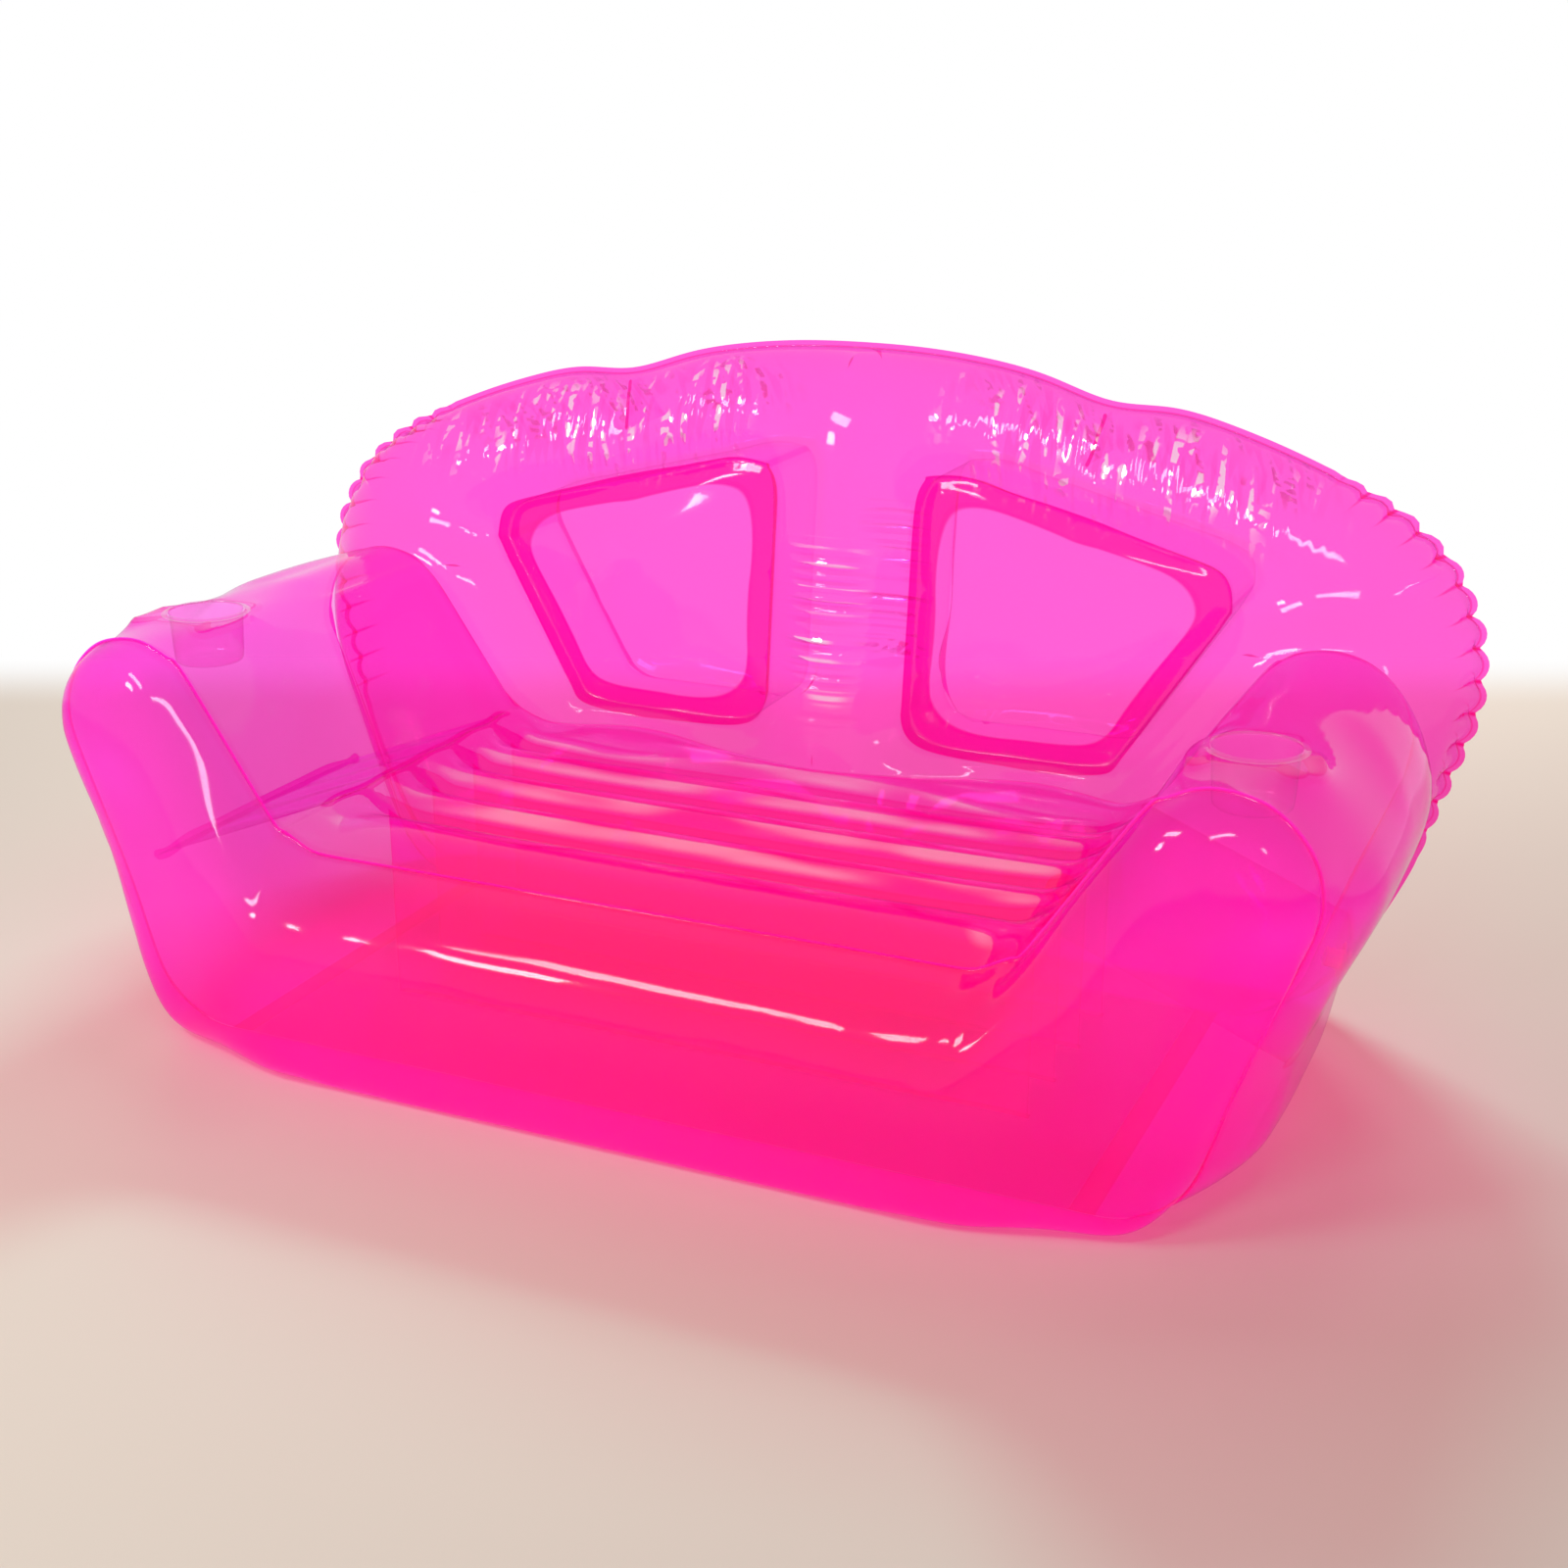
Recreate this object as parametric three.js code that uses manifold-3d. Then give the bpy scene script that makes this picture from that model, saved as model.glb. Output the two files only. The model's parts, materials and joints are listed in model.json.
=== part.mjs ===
// Inflatable floor sofa for two, welded from flat panels of clear tinted film into two air chambers.
// Millimetres, +Z up, the front faces -Y. The panels are worked out in a frame whose origin lies on
// the floor under the middle of the front seam; the finished sofa is centred on its footprint.
import * as THREE from 'three';
import { mergeVertices } from 'three/addons/utils/BufferGeometryUtils.js';
import Module from 'manifold-3d';

const wasm = await Module();
wasm.setup();

// Film and welds
const film = 0.4;                 // thickness of the vinyl film
const weldGap = 0.3;              // clear gap between two films that lie face to face
const seamHem = 3;                // width of the welded hem that stands out of the body's seams
const rimHem = 7;                 // and out of the back's rim
const layer = film + weldGap;     // pitch from one film to the next

// Seat and arm chamber, seen from the front
const seatHeight = 228;           // seat at the front seam
const seatHalfWidth = 350;        // flat part of the seat, from the middle
const creaseRadius = 100;         // hollow between the seat and an arm
const armReach = 243;             // from the flat part of the seat out to the arm's middle
const armTop = 439;
const armRadius = 92;
const waistReach = 31;            // from the arm's middle out to where the arm web draws the side in
const waistHeight = 165;
const baseInset = 124;            // the flat part that lies on the floor ends this far inside the waist
const cornerRadius = 100;         // from the floor up to the outer side
const bodyDepth = 488;            // front seam to rear seam
const baseLap = 26;               // overlap of the long panel on the base panel
const armPlace = seatHalfWidth + armReach;        // middle of an arm, from the middle of the seat
const waistHalfWidth = armPlace + waistReach;
const baseHalfWidth = waistHalfWidth - baseInset;

// How far the film swells between its welds
const frontSwell = 106;           // front panel in the middle of the seat
const armEndSwell = 58;           // front panel at an arm's end
const frontRounding = 92;         // distance from the seam over which it rounds off
const soleRounding = 72;          // the same above the floor
const soleReach = 66;             // the front panel lies on the floor this far before it turns up
const soleCornerShare = 0.45;     // of that, at the corners of the base
const armSwell = 2;               // arm top
const armOuterSwell = 44;         // outer side of the arm
const waistSwell = 38;
const cornerSwell = 48;           // outer side under the waist
const hemRounding = 14;           // first step of the film away from a seam

// Tension sheets of the seat
const webFirst = 160;             // first weld line behind the front seam
const webRearReach = 64;          // from the last weld line to the rear seam
const webCount = 4;
const webReach = 34;              // the weld lines end this far outside the flat part of the seat
const webHalfWidth = seatHalfWidth + webReach;
const webPitch = (bodyDepth - webFirst - webRearReach) / (webCount - 1);
const webDrop = 22;               // how far the welds hold the seat below its seams
const webEndRise = 13;            // the weld lines climb again towards their ends
const ribRise = 24;               // seat ribs, above the weld lines
const frontRibRise = 30;
const rearRibRise = 14;
const webFoot = 10;               // hem welded to the base
const armWebInset = 45;           // arm web ends, from the front and rear seams

// Cup holders in the arm tops
const cupDepthPlace = 130;        // middle of the cup, behind the front seam
const cupLevel = armTop;          // the film is drawn flat here
const cupRadius = 42;
const cupHemWidth = 7;
const cupMargin = 3;              // of flattened film round the hem
const cupHemRadius = cupRadius + cupHemWidth;
const cupFlat = cupHemRadius + cupMargin;         // half the flattened patch
const cupTaper = 4;
const cupDepth = 56;
const cupWall = 0.8;
const cupLip = 2.2;

// Back chamber
const backTop = 704;
const backOverhang = 144;         // the rim stands this far outside the arm's middle
const backFootReach = 40;         // and this far outside the base, at the floor
const backFootDepth = 92;         // middle plane of the back at the floor, behind the rear seam
const backHalfWidth = armPlace + backOverhang;
const backHalfFoot = baseHalfWidth + backFootReach;
const backMiddleFoot = bodyDepth + backFootDepth;
const rimForward = 40;            // the rim lies in front of the middle plane
const backLeanShare = 0.118;      // lean to the rear, per height
const backSwellShare = 0.56;      // swell of the back's film, per width between its welds
const paneSwellShare = 0.13;      // the same for the two window panes
const tieReach = 26;
const tieDrawShare = 0.45;

// Window panes, half the webs' depth before and behind the middle plane
const windowWebDepth = 120;
const windowInner = 92;           // inner side, from the middle
const windowSeatGap = 23;         // its lower side above the seat
const windowCrestGap = 120;       // its inner top corner under the crest
const windowShoulderGap = 221;    // its outer top corner under the crest
const windowArmGap = 105;         // the same corner inside the arm's middle
const windowFootInset = 10;       // its outer lower corner inside the flat part of the seat
const windowRounding = 48;
const windowFloor = seatHeight + windowSeatGap;
const windowInnerTop = backTop - windowCrestGap;
const windowOuterTop = backTop - windowShoulderGap;
const windowOuterTopPlace = armPlace - windowArmGap;
const windowOuterFootPlace = seatHalfWidth - windowFootInset;

// Crest ties
const tieOffset = 210;            // outside the inner side of a window
const tieDip = 47;                // the crest is drawn down this far at the ties
const tiePlace = windowInner + tieOffset;
const tieTop = backTop - tieDip;

// Rear seam of the seat: it follows the back, whose film stands forward in the middle
const rearHollow = 48;            // hollow in front of each window
const rearHollowInset = 90;       // its middle inside the flat part of the seat
const rearHollowPlace = seatHalfWidth - rearHollowInset;
const rearHollowSpread = 110;
const rearRidge = 13;
const rearRidgeSpread = 80;
const rearFadeLow = 40;           // below this height the rear seam is straight
const rearFadeHigh = 150;

// Valves
const valveBore = 8.5;            // radius
const valveWall = 2.5;
const valveHemWidth = 9;
const valveHoleGap = 1;           // between the tube and the edge of the hole in the film
const valveTube = valveBore + valveWall;
const valveHem = valveTube + valveHemWidth;
const valveHole = valveTube + valveHoleGap;
const valveLength = 16;
const valveHemThickness = 0.8;
const valveCollar = 2.4;          // height of the ring that the stopper closes on
const flapThickness = 0.8;
const flapOverlap = 2;
const flapTab = 3;
const plugRadius = valveBore - weldGap;
const plugTaper = 1.2;
const plugLength = 5;
const capLip = 1.5;               // the cap stands this far over the tube
const capRadius = valveTube + capLip;
const capThickness = 1.8;
const strapWidth = 6;
const strapThickness = 1.2;
const hingeGap = 3.5;             // from the cap's edge to the strap's hinge
const hingeReach = capRadius + hingeGap;
const bodyValveDrop = 47;         // under the waist
const bodyValveInset = 88;        // before the rear seam
const backValveInset = 90;        // inside the outer lower corner of the window
const backValveDrop = 141;        // under the window

// Each valve sits at the nearest corner of its film
const bodyValvePlace = { x: waistHalfWidth, y: bodyDepth - bodyValveInset, z: waistHeight - bodyValveDrop };
const backValvePlace = { x: windowOuterFootPlace - backValveInset, y: backMiddleFoot, z: windowFloor - backValveDrop };

// Steps of the faceted film
const seatSteps = 5;
const creaseSteps = 3;
const armSideSteps = 3;
const armFlatSteps = 4;
const outerSteps = 2;
const cornerSteps = 4;
const spokeSteps = 6;
const centreSteps = 8;
const rearCentreSteps = 10;
const footSteps = 6;
const rimSteps = 10;
const stripSteps = 3;
const paneSteps = 3;
const webSteps = 4;
const tieFirstRing = 3;
const roundSteps = 32;
const relaxPasses = 400;
const relaxShare = 1.7;
const bridgeRise = 81;            // above the arm top, where the rim faces the arm's inner side
const bridgeHeight = armTop + bridgeRise;
const overrun = 5;                // cutters reach this far past what they cut

const clearFilm = filmMaterial(0xff5cc0);
const webFilm = filmMaterial(0xff1f9c);
const moulding = filmMaterial(0xff8ad2);

function filmMaterial(color) {
  return new THREE.MeshStandardMaterial({ color, roughness: 0.12, metalness: 0, side: THREE.DoubleSide });
}

const vector = (x, y, z) => new THREE.Vector3(x, y, z);
const flat = (x, z) => new THREE.Vector2(x, z);
const mirrored = (point) => point.clone().setX(-point.x);
const smooth = (value, low, high) => THREE.MathUtils.smoothstep(value, low, high);
const bell = (value, spread) => Math.exp(-((value / spread) ** 2));

// Steps between 0 and 1, close together at both ends, where swollen film turns sharply
const easedSteps = (count) =>
  Array.from({ length: count + 1 }, (unused, k) => (1 - Math.cos(Math.PI * k / count)) / 2);

// Works for points of the outline and for points in space
function lineSteps(from, to, steps) {
  return Array.from({ length: steps + 1 }, (unused, k) => from.clone().lerp(to, k / steps));
}

const easedLine = (from, to, count) => easedSteps(count).map((share) => from.clone().lerp(to, share));

function arcSteps(centre, radius, from, to, steps) {
  return Array.from({ length: steps + 1 }, (unused, k) => {
    const angle = from + (to - from) * k / steps;
    return flat(centre.x + radius * Math.cos(angle), centre.y + radius * Math.sin(angle));
  });
}

// Angle at a circle's centre to the point where a line from outside touches it
function tangentAngle(point, centre, radius, side) {
  const away = point.clone().sub(centre);
  return Math.atan2(away.y, away.x) + side * Math.acos(radius / away.length());
}

// Half of the body's outline, from the middle of the seat over an arm to the waist, and on to the floor
function bodyOutline(floorLevel) {
  const creaseCentre = flat(seatHalfWidth, seatHeight + creaseRadius);
  const armCentre = flat(armPlace, armTop - armRadius);
  const waist = flat(waistHalfWidth, waistHeight);
  const cornerCentre = flat(baseHalfWidth, floorLevel + cornerRadius);
  const between = armCentre.clone().sub(creaseCentre);
  const slope = Math.atan2(between.y, between.x) + Math.asin((creaseRadius + armRadius) / between.length());
  const quarter = Math.PI / 2;
  const flatAngle = Math.asin(cupFlat / armRadius);
  const armEnd = tangentAngle(waist, armCentre, armRadius, 1);
  const cornerStart = tangentAngle(waist, cornerCentre, cornerRadius, -1);
  const armLast = arcSteps(armCentre, armRadius, quarter - flatAngle, armEnd, armSideSteps);
  const corner = arcSteps(cornerCentre, cornerRadius, cornerStart, -quarter, cornerSteps);
  const upper = [
    ...lineSteps(flat(0, seatHeight), flat(seatHalfWidth, seatHeight), seatSteps),
    ...arcSteps(creaseCentre, creaseRadius, -quarter, slope - quarter, creaseSteps).slice(1),
    ...arcSteps(armCentre, armRadius, quarter + slope, quarter + flatAngle, 1),
    ...arcSteps(armCentre, armRadius, quarter + flatAngle, quarter - flatAngle, armFlatSteps).slice(1),
    ...armLast.slice(1),
    ...lineSteps(armLast.at(-1), waist, outerSteps).slice(1),
  ];
  const lower = [...lineSteps(waist, corner[0], outerSteps), ...corner.slice(1)];
  return { upper, lower };
}

// Places along the upper outline, counted from the middle of the seat
const creaseWeldIndex = seatSteps + creaseSteps - 1;
const creaseEndIndex = seatSteps + creaseSteps;
const armFlatStart = creaseEndIndex + 2;
const armFlatEnd = armFlatStart + armFlatSteps;
const waistIndex = armFlatEnd + armSideSteps + outerSteps;
const cornerIndex = waistIndex + outerSteps;
const floorIndex = cornerIndex + cornerSteps;

// Rear seam of the body, as a depth behind the front seam
function rearSeam(point) {
  const height = smooth(point.y, rearFadeLow, rearFadeHigh);
  const hollow = rearHollow * bell(Math.abs(point.x) - rearHollowPlace, rearHollowSpread);
  return bodyDepth + height * (hollow - rearRidge * bell(point.x, rearRidgeSpread));
}

// A film piece is a list of four-cornered facets; it becomes a closed sheet of the film's thickness
function gridFacets(rows, turned = false) {
  const facets = [];
  for (let j = 1; j < rows.length; j++) {
    for (let i = 1; i < rows[j].length; i++) {
      const facet = [rows[j - 1][i - 1], rows[j - 1][i], rows[j][i], rows[j][i - 1]];
      facets.push(turned ? facet.reverse() : facet);
    }
  }
  return facets;
}

function facetSurface(facets) {
  const corners = facets.flatMap(([a, b, c, d]) => (
    a.distanceTo(c) < b.distanceTo(d) ? [a, b, c, a, c, d] : [a, b, d, b, c, d]
  ));
  const loose = new THREE.BufferGeometry().setFromPoints(corners);
  const merged = mergeVertices(loose, film / 100);
  const index = Array.from(merged.index.array);
  const kept = [];
  for (let k = 0; k < index.length; k += 3) {
    const [a, b, c] = index.slice(k, k + 3);
    if (a !== b && b !== c && c !== a) kept.push(a, b, c);
  }
  merged.setIndex(kept);
  merged.computeVertexNormals();
  return merged;
}

function filmSheet(facets, thickness = film) {
  const surface = facetSurface(facets);
  const places = surface.getAttribute('position');
  const normals = surface.getAttribute('normal');
  const index = Array.from(surface.index.array);
  const count = places.count;
  const points = [];
  for (const side of [1, -1]) {
    for (let k = 0; k < count; k++) {
      const offset = vector(0, 0, 0).fromBufferAttribute(normals, k).multiplyScalar(side * thickness / 2);
      points.push(vector(0, 0, 0).fromBufferAttribute(places, k).add(offset));
    }
  }
  const edges = new Set();
  const triangles = [];
  for (let k = 0; k < index.length; k += 3) {
    const [a, b, c] = index.slice(k, k + 3);
    triangles.push(a, b, c, a + count, c + count, b + count);
    for (const [from, to] of [[a, b], [b, c], [c, a]]) edges.add(`${from} ${to}`);
  }
  for (const edge of edges) {
    const [from, to] = edge.split(' ').map(Number);
    if (edges.has(`${to} ${from}`)) continue;
    triangles.push(to, from, from + count, to, from + count, to + count);
  }
  return new THREE.BufferGeometry().setFromPoints(points).setIndex(triangles);
}

// Booleans
function bare(geometry) {
  const plain = geometry.clone();
  plain.deleteAttribute('normal');
  plain.deleteAttribute('uv');
  return plain;
}

function solidOf(geometry) {
  const merged = closed(geometry);
  return new wasm.Manifold(new wasm.Mesh({
    numProp: 3,
    vertProperties: new Float32Array(merged.getAttribute('position').array),
    triVerts: new Uint32Array(merged.index.array),
  }));
}

function geometryOf(solid) {
  const mesh = solid.getMesh();
  const geometry = new THREE.BufferGeometry();
  geometry.setAttribute('position', new THREE.BufferAttribute(mesh.vertProperties, 3));
  geometry.setIndex(new THREE.BufferAttribute(mesh.triVerts, 1));
  return geometry;
}

const cutAway = (geometry, ...cutters) =>
  geometryOf(cutters.reduce((solid, cutter) => solid.subtract(solidOf(cutter)), solidOf(geometry)));

const joined = (...geometries) =>
  geometryOf(geometries.map(solidOf).reduce((sum, solid) => sum.add(solid)));

// Outward directions along an outline that is walked with its outside on the left
function outlineNormals(outline, closed = false) {
  const last = outline.length - 1;
  return outline.map((point, k) => {
    const before = outline[closed ? (k + last) % (last + 1) : Math.max(k - 1, 0)];
    const after = outline[closed ? (k + 1) % (last + 1) : Math.min(k + 1, last)];
    const along = after.clone().sub(before).normalize();
    return flat(-along.y, along.x);
  });
}

const wholeOutline = (half) => [...half.slice(1).reverse().map(mirrored), ...half];
const hemShareAt = (height) => smooth(height, lapFilm, cornerRadius / 2);

function raised(point, normal, rise, depth) {
  return vector(point.x + normal.x * rise, depth, point.y + normal.y * rise);
}

// The closed outline of the body, as an upper chain from waist to waist and a lower one under it
const floorFilm = film / 2;               // middle of a film that lies on the floor
const lapFilm = floorFilm + layer;        // and of the film on top of it

function bodyChains() {
  const { upper, lower } = bodyOutline(floorFilm);
  const floorSteps = upper.length - lower.length;
  const floor = lineSteps(flat(baseHalfWidth, floorFilm), flat(0, floorFilm), floorSteps);
  const below = [...lower, ...floor.slice(1)].reverse();
  return { above: wholeOutline(upper), below: wholeOutline(below) };
}

const { above, below } = bodyChains();

// Rows that fill the outline from its upper to its lower chain
function fillRows(depthOf) {
  return easedSteps(spokeSteps).map((share) => above.map((top, k) => {
    const point = top.clone().lerp(below[k], share);
    return vector(point.x, depthOf(point, k), point.y);
  }));
}

// Front panel: it fills the outline, swells forward and lies on the floor before it turns up
function distanceTo(chain, point) {
  const target = vector(point.x, 0, point.y);
  const nearest = vector(0, 0, 0);
  const corner = (k) => vector(chain[k].x, 0, chain[k].y);
  return Math.min(...chain.slice(1).map((unused, k) => {
    new THREE.Line3(corner(k), corner(k + 1)).closestPointToPoint(target, true, nearest);
    return nearest.distanceTo(target);
  }));
}

const rounded = (distance, radius) => Math.sqrt(1 - (1 - Math.min(distance / radius, 1)) ** 2);

function bodyFrontPanel() {
  const soles = below.map((point) => {
    const corner = smooth(Math.abs(point.x), seatHalfWidth, baseHalfWidth);
    const share = THREE.MathUtils.lerp(1, soleCornerShare, corner);
    return soleReach * share * (1 - smooth(point.y, floorFilm, cornerRadius / 2));
  });
  const rows = fillRows((point, k) => {
    const armShare = smooth(Math.abs(point.x), seatHalfWidth, armPlace);
    const swell = THREE.MathUtils.lerp(frontSwell, armEndSwell, armShare);
    const aboveSole = rounded(distanceTo(below, point), soleRounding);
    const reach = THREE.MathUtils.lerp(soles[k], swell, aboveSole);
    return -layer / 2 - reach * rounded(distanceTo(above, point), frontRounding);
  });
  const seam = below.map((point) => vector(point.x, -layer / 2, point.y));
  const outline = [...above, ...below.slice(1, -1).reverse()];
  const normals = outlineNormals(outline, true);
  const hem = outline.map((point, k) => (
    raised(point, normals[k], seamHem * hemShareAt(point.y), -layer / 2)
  ));
  const hemAbove = hem.slice(0, above.length);
  const hemBelow = [hem[0], ...hem.slice(above.length).reverse(), hemAbove.at(-1)];
  return filmSheet(gridFacets([hemAbove, ...rows, seam, hemBelow]));
}

// Base panel, flat on the floor
function basePanel() {
  const width = 2 * (baseHalfWidth - weldGap);
  const depth = bodyDepth - weldGap - film / 2;
  return new THREE.BoxGeometry(width, depth, film).translate(0, depth / 2, floorFilm);
}

// Rear wall of the body: the lower part of the back's front film
const wallRows = fillRows((point) => rearSeam(point));

// Long panel of the seat and the arms: its places along the depth
const webPlaces = Array.from({ length: webCount }, (unused, k) => webFirst + webPitch * k);
const webLast = webPlaces.at(-1);

function seatStations() {
  const places = [hemRounding, webFirst / 2];
  webPlaces.forEach((place, k) => {
    if (k > 0) places.push(place - webPitch / 2);
    places.push(place);
  });
  return places;
}

function armStations(count) {
  const cup = [-cupFlat, 0, cupFlat].map((offset) => cupDepthPlace + offset);
  const rest = count - 1 - cup.length;
  const behind = Array.from({ length: rest }, (unused, k) => (
    THREE.MathUtils.lerp(cup.at(-1), webLast, (k + 1) / rest)
  ));
  return [hemRounding, ...cup, ...behind];
}

// Height of the seat's film over its seams: a rib between each two weld lines
function seatRise(place, rear, sideShare) {
  const drop = webDrop - webEndRise * sideShare;
  const stops = [0, ...webPlaces, rear];
  const k = Math.max(stops.findIndex((stop) => stop >= place) - 1, 0);
  const share = (place - stops[k]) / (stops[k + 1] - stops[k]);
  const low = (n) => (n === 0 || n === stops.length - 1 ? 0 : -drop);
  const rise = [frontRibRise, ...webPlaces.slice(1).fill(ribRise), rearRibRise][k];
  return THREE.MathUtils.lerp(low(k), low(k + 1), share) + rise * Math.sin(Math.PI * share);
}

// How far the film stands out of the straight panel at a place of the outline, halfway along its depth
function outlineSwell(index) {
  const anchors = [
    [creaseWeldIndex, 0], [armFlatStart, armSwell], [armFlatEnd - 1, armSwell],
    [waistIndex - outerSteps, armOuterSwell], [waistIndex, waistSwell], [cornerIndex, cornerSwell],
    [floorIndex, cornerSwell], [floorIndex + 1, 0],
  ];
  const k = anchors.findIndex(([place]) => place >= index);
  if (k <= 0) return 0;
  const [[from, low], [to, high]] = [anchors[k - 1], anchors[k]];
  return THREE.MathUtils.lerp(low, high, (index - from) / (to - from));
}

// Rear hem, turned inward so that it lies on the rear wall
function rearHem(points, middle) {
  return points.map((point, column) => {
    const index = Math.abs(column - middle);
    const side = Math.sign(column - middle);
    if (index >= floorIndex) return point.clone();
    const onTop = index <= waistIndex;
    const spoke = waistIndex + side * (onTop ? index : 2 * waistIndex - index);
    const from = wallRows.at(onTop ? 0 : -1)[spoke];
    const to = wallRows.at(onTop ? 1 : -2)[spoke];
    const step = to.clone().sub(from);
    const reach = seamHem * hemShareAt(from.z);
    if (step.length() === 0) return point.clone();
    return point.clone().addScaledVector(step, reach / step.length());
  });
}

function seatArmRows() {
  const { upper, lower } = bodyOutline(lapFilm);
  const half = [...upper, ...lower.slice(1), flat(baseHalfWidth - baseLap, lapFilm)];
  const outline = wholeOutline(half);
  const normals = outlineNormals(outline);
  const middle = half.length - 1;
  const onSeat = seatStations();
  const onArm = armStations(onSeat.length);
  const station = (point, column, row) => {
    const index = Math.abs(column - middle);
    const rear = rearSeam(point) - layer;
    const armShare = smooth(index, seatSteps, armFlatStart);
    const places = [
      ...onSeat.map((seat, k) => THREE.MathUtils.lerp(seat, onArm[k], armShare)),
      (webLast + rear) / 2, rear - hemRounding,
    ];
    const place = places[row];
    const pillow = 1 - (2 * place / rear - 1) ** 4;
    const ribShare = 1 - smooth(index, seatSteps - 1, creaseEndIndex);
    const sideShare = Math.min(index / creaseWeldIndex, 1) ** 4;
    const sideways = flat(Math.sign(column - middle), 0);
    const direction = index > waistIndex ? sideways : normals[column];
    const swollen = raised(point, direction, outlineSwell(index) * pillow, place);
    swollen.z += ribShare * seatRise(place, rear, sideShare);
    const onCup = Math.abs(place - cupDepthPlace) < cupFlat + weldGap;
    if (onCup && index >= armFlatStart && index <= armFlatEnd) swollen.z = cupLevel;
    return swollen;
  };
  const hemWidths = outline.map((point) => seamHem * hemShareAt(point.y));
  const front = outline.map((point, k) => raised(point, normals[k], 0, layer / 2));
  const frontHem = outline.map((point, k) => raised(point, normals[k], hemWidths[k], layer / 2));
  const rear = outline.map((point, k) => raised(point, normals[k], 0, rearSeam(point) - layer));
  const between = [...onSeat, ...[0, 0]].map((unused, row) => (
    outline.map((point, column) => station(point, column, row))
  ));
  return [frontHem, front, ...between, rear, rearHem(rear, middle)];
}

const panelRows = seatArmRows();
const panelMiddle = (panelRows[0].length - 1) / 2;
const firstWebRow = 4;

// Seats: a corner of a film and the direction straight out of it there
function seatOn(facets, place, outside) {
  const surface = facetSurface(facets);
  const places = surface.getAttribute('position');
  const target = vector(place.x, place.y, place.z);
  const corner = vector(0, 0, 0);
  let nearest = 0;
  let least = Infinity;
  for (let k = 0; k < places.count; k++) {
    const distance = corner.fromBufferAttribute(places, k).distanceTo(target);
    if (distance < least) [least, nearest] = [distance, k];
  }
  const outward = vector(0, 0, 0).fromBufferAttribute(surface.getAttribute('normal'), nearest);
  if (outward.dot(outside) < 0) outward.negate();
  return { place: corner.fromBufferAttribute(places, nearest).clone(), outward };
}

const up = vector(0, 0, 1);
const cupPlaces = [-1, 1].map((side) => vector(side * armPlace, cupDepthPlace, cupLevel));
const panelFacets = gridFacets(panelRows);
const bodyValve = seatOn(panelFacets, bodyValvePlace, vector(1, 0, 0));

// A round cutter that stands on a film along its outward direction
function holeCutter(place, outward, radius) {
  const cutter = new THREE.CylinderGeometry(radius, radius, 2 * (valveLength + overrun), roundSteps);
  return setOn(cutter.rotateX(Math.PI / 2), { place, outward });
}

// Moves a body made round the Z axis onto its seat
function setOn(geometry, seat) {
  const turn = new THREE.Quaternion().setFromUnitVectors(up, seat.outward);
  return geometry.applyQuaternion(turn).translate(seat.place.x, seat.place.y, seat.place.z);
}

function seatArmPanel() {
  const cups = cupPlaces.map((place) => holeCutter(place, up, cupRadius + weldGap));
  return cutAway(filmSheet(panelFacets), ...cups, holeCutter(bodyValve.place, bodyValve.outward, valveHole));
}

// Upright tension sheets of the seat, each with a hem on the base
function seatWeb(number) {
  const row = panelRows[firstWebRow + 2 * number];
  const reach = row.filter((point) => Math.abs(point.x) < webHalfWidth);
  const head = reach.map((point) => point.clone().setZ(point.z - film / 2 - weldGap));
  const low = reach.map((point) => point.clone().setZ(lapFilm));
  const foot = low.map((point) => point.clone().setY(point.y + webFoot));
  const upright = [0, 1, 2].map((k) => low.map((point, n) => point.clone().lerp(head[n], k / 2)));
  return filmSheet(gridFacets([foot, ...upright]));
}

// Sloping tension sheet in an arm, from the crease inside it to the waist outside
function armWeb(side) {
  const inner = panelMiddle + side * creaseWeldIndex;
  const outer = panelMiddle + side * waistIndex;
  const inset = film / 2 + weldGap;
  const rows = panelRows.slice(1, -1).filter((points) => {
    const depth = points[outer].y;
    return depth > armWebInset && depth < bodyDepth - armWebInset / 2;
  });
  return filmSheet(gridFacets(rows.map((points) => {
    const from = points[inner].clone().add(vector(side * inset, 0, -inset));
    const to = points[outer].clone().add(vector(-side * inset, 0, 0));
    return lineSteps(from, to, webSteps);
  })));
}

// Cup holder: a ring hem on the arm, a rounded lip and a tapered cup that hangs in the arm
function cupHolder(place) {
  const seat = film / 2 + weldGap;
  const profile = [
    flat(cupHemRadius, seat),
    flat(cupHemRadius, seat + cupWall),
    flat(cupRadius + cupLip, seat + cupWall),
    flat(cupRadius, seat + cupLip),
    flat(cupRadius - cupLip, seat + cupWall),
    flat(cupRadius - cupTaper, cupWall - cupDepth),
    flat(0, cupWall - cupDepth),
    flat(0, -cupDepth),
    flat(cupRadius - cupTaper + cupWall - cupLip, -cupDepth),
    flat(cupRadius - cupTaper + cupWall, cupLip - cupDepth),
    flat(cupRadius - weldGap, seat),
    flat(cupHemRadius, seat),
  ];
  const cup = new THREE.LatheGeometry(profile, roundSteps).rotateX(Math.PI / 2);
  return cup.translate(place.x, place.y, place.z);
}

// Back chamber: the rim of its two films, right half, as shares of the half width and the height
const rimShares = [
  [0, 1], [0.15, 0.994], [0.29, 0.97], [0.41, 0.933], [0.52, 0.927], [0.66, 0.888], [0.815, 0.824],
  [0.9, 0.775], [0.955, 0.708], [0.988, 0.64], [1, 0.545], [0.99, 0.48], [0.97, 0.41], [0.947, 0.33],
  [0.92, 0.25], [0.88, 0.16], [0.83, 0.07], [0.785, 0.02],
];

const backMiddle = (height) => backMiddleFoot + backLeanShare * height;

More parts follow.
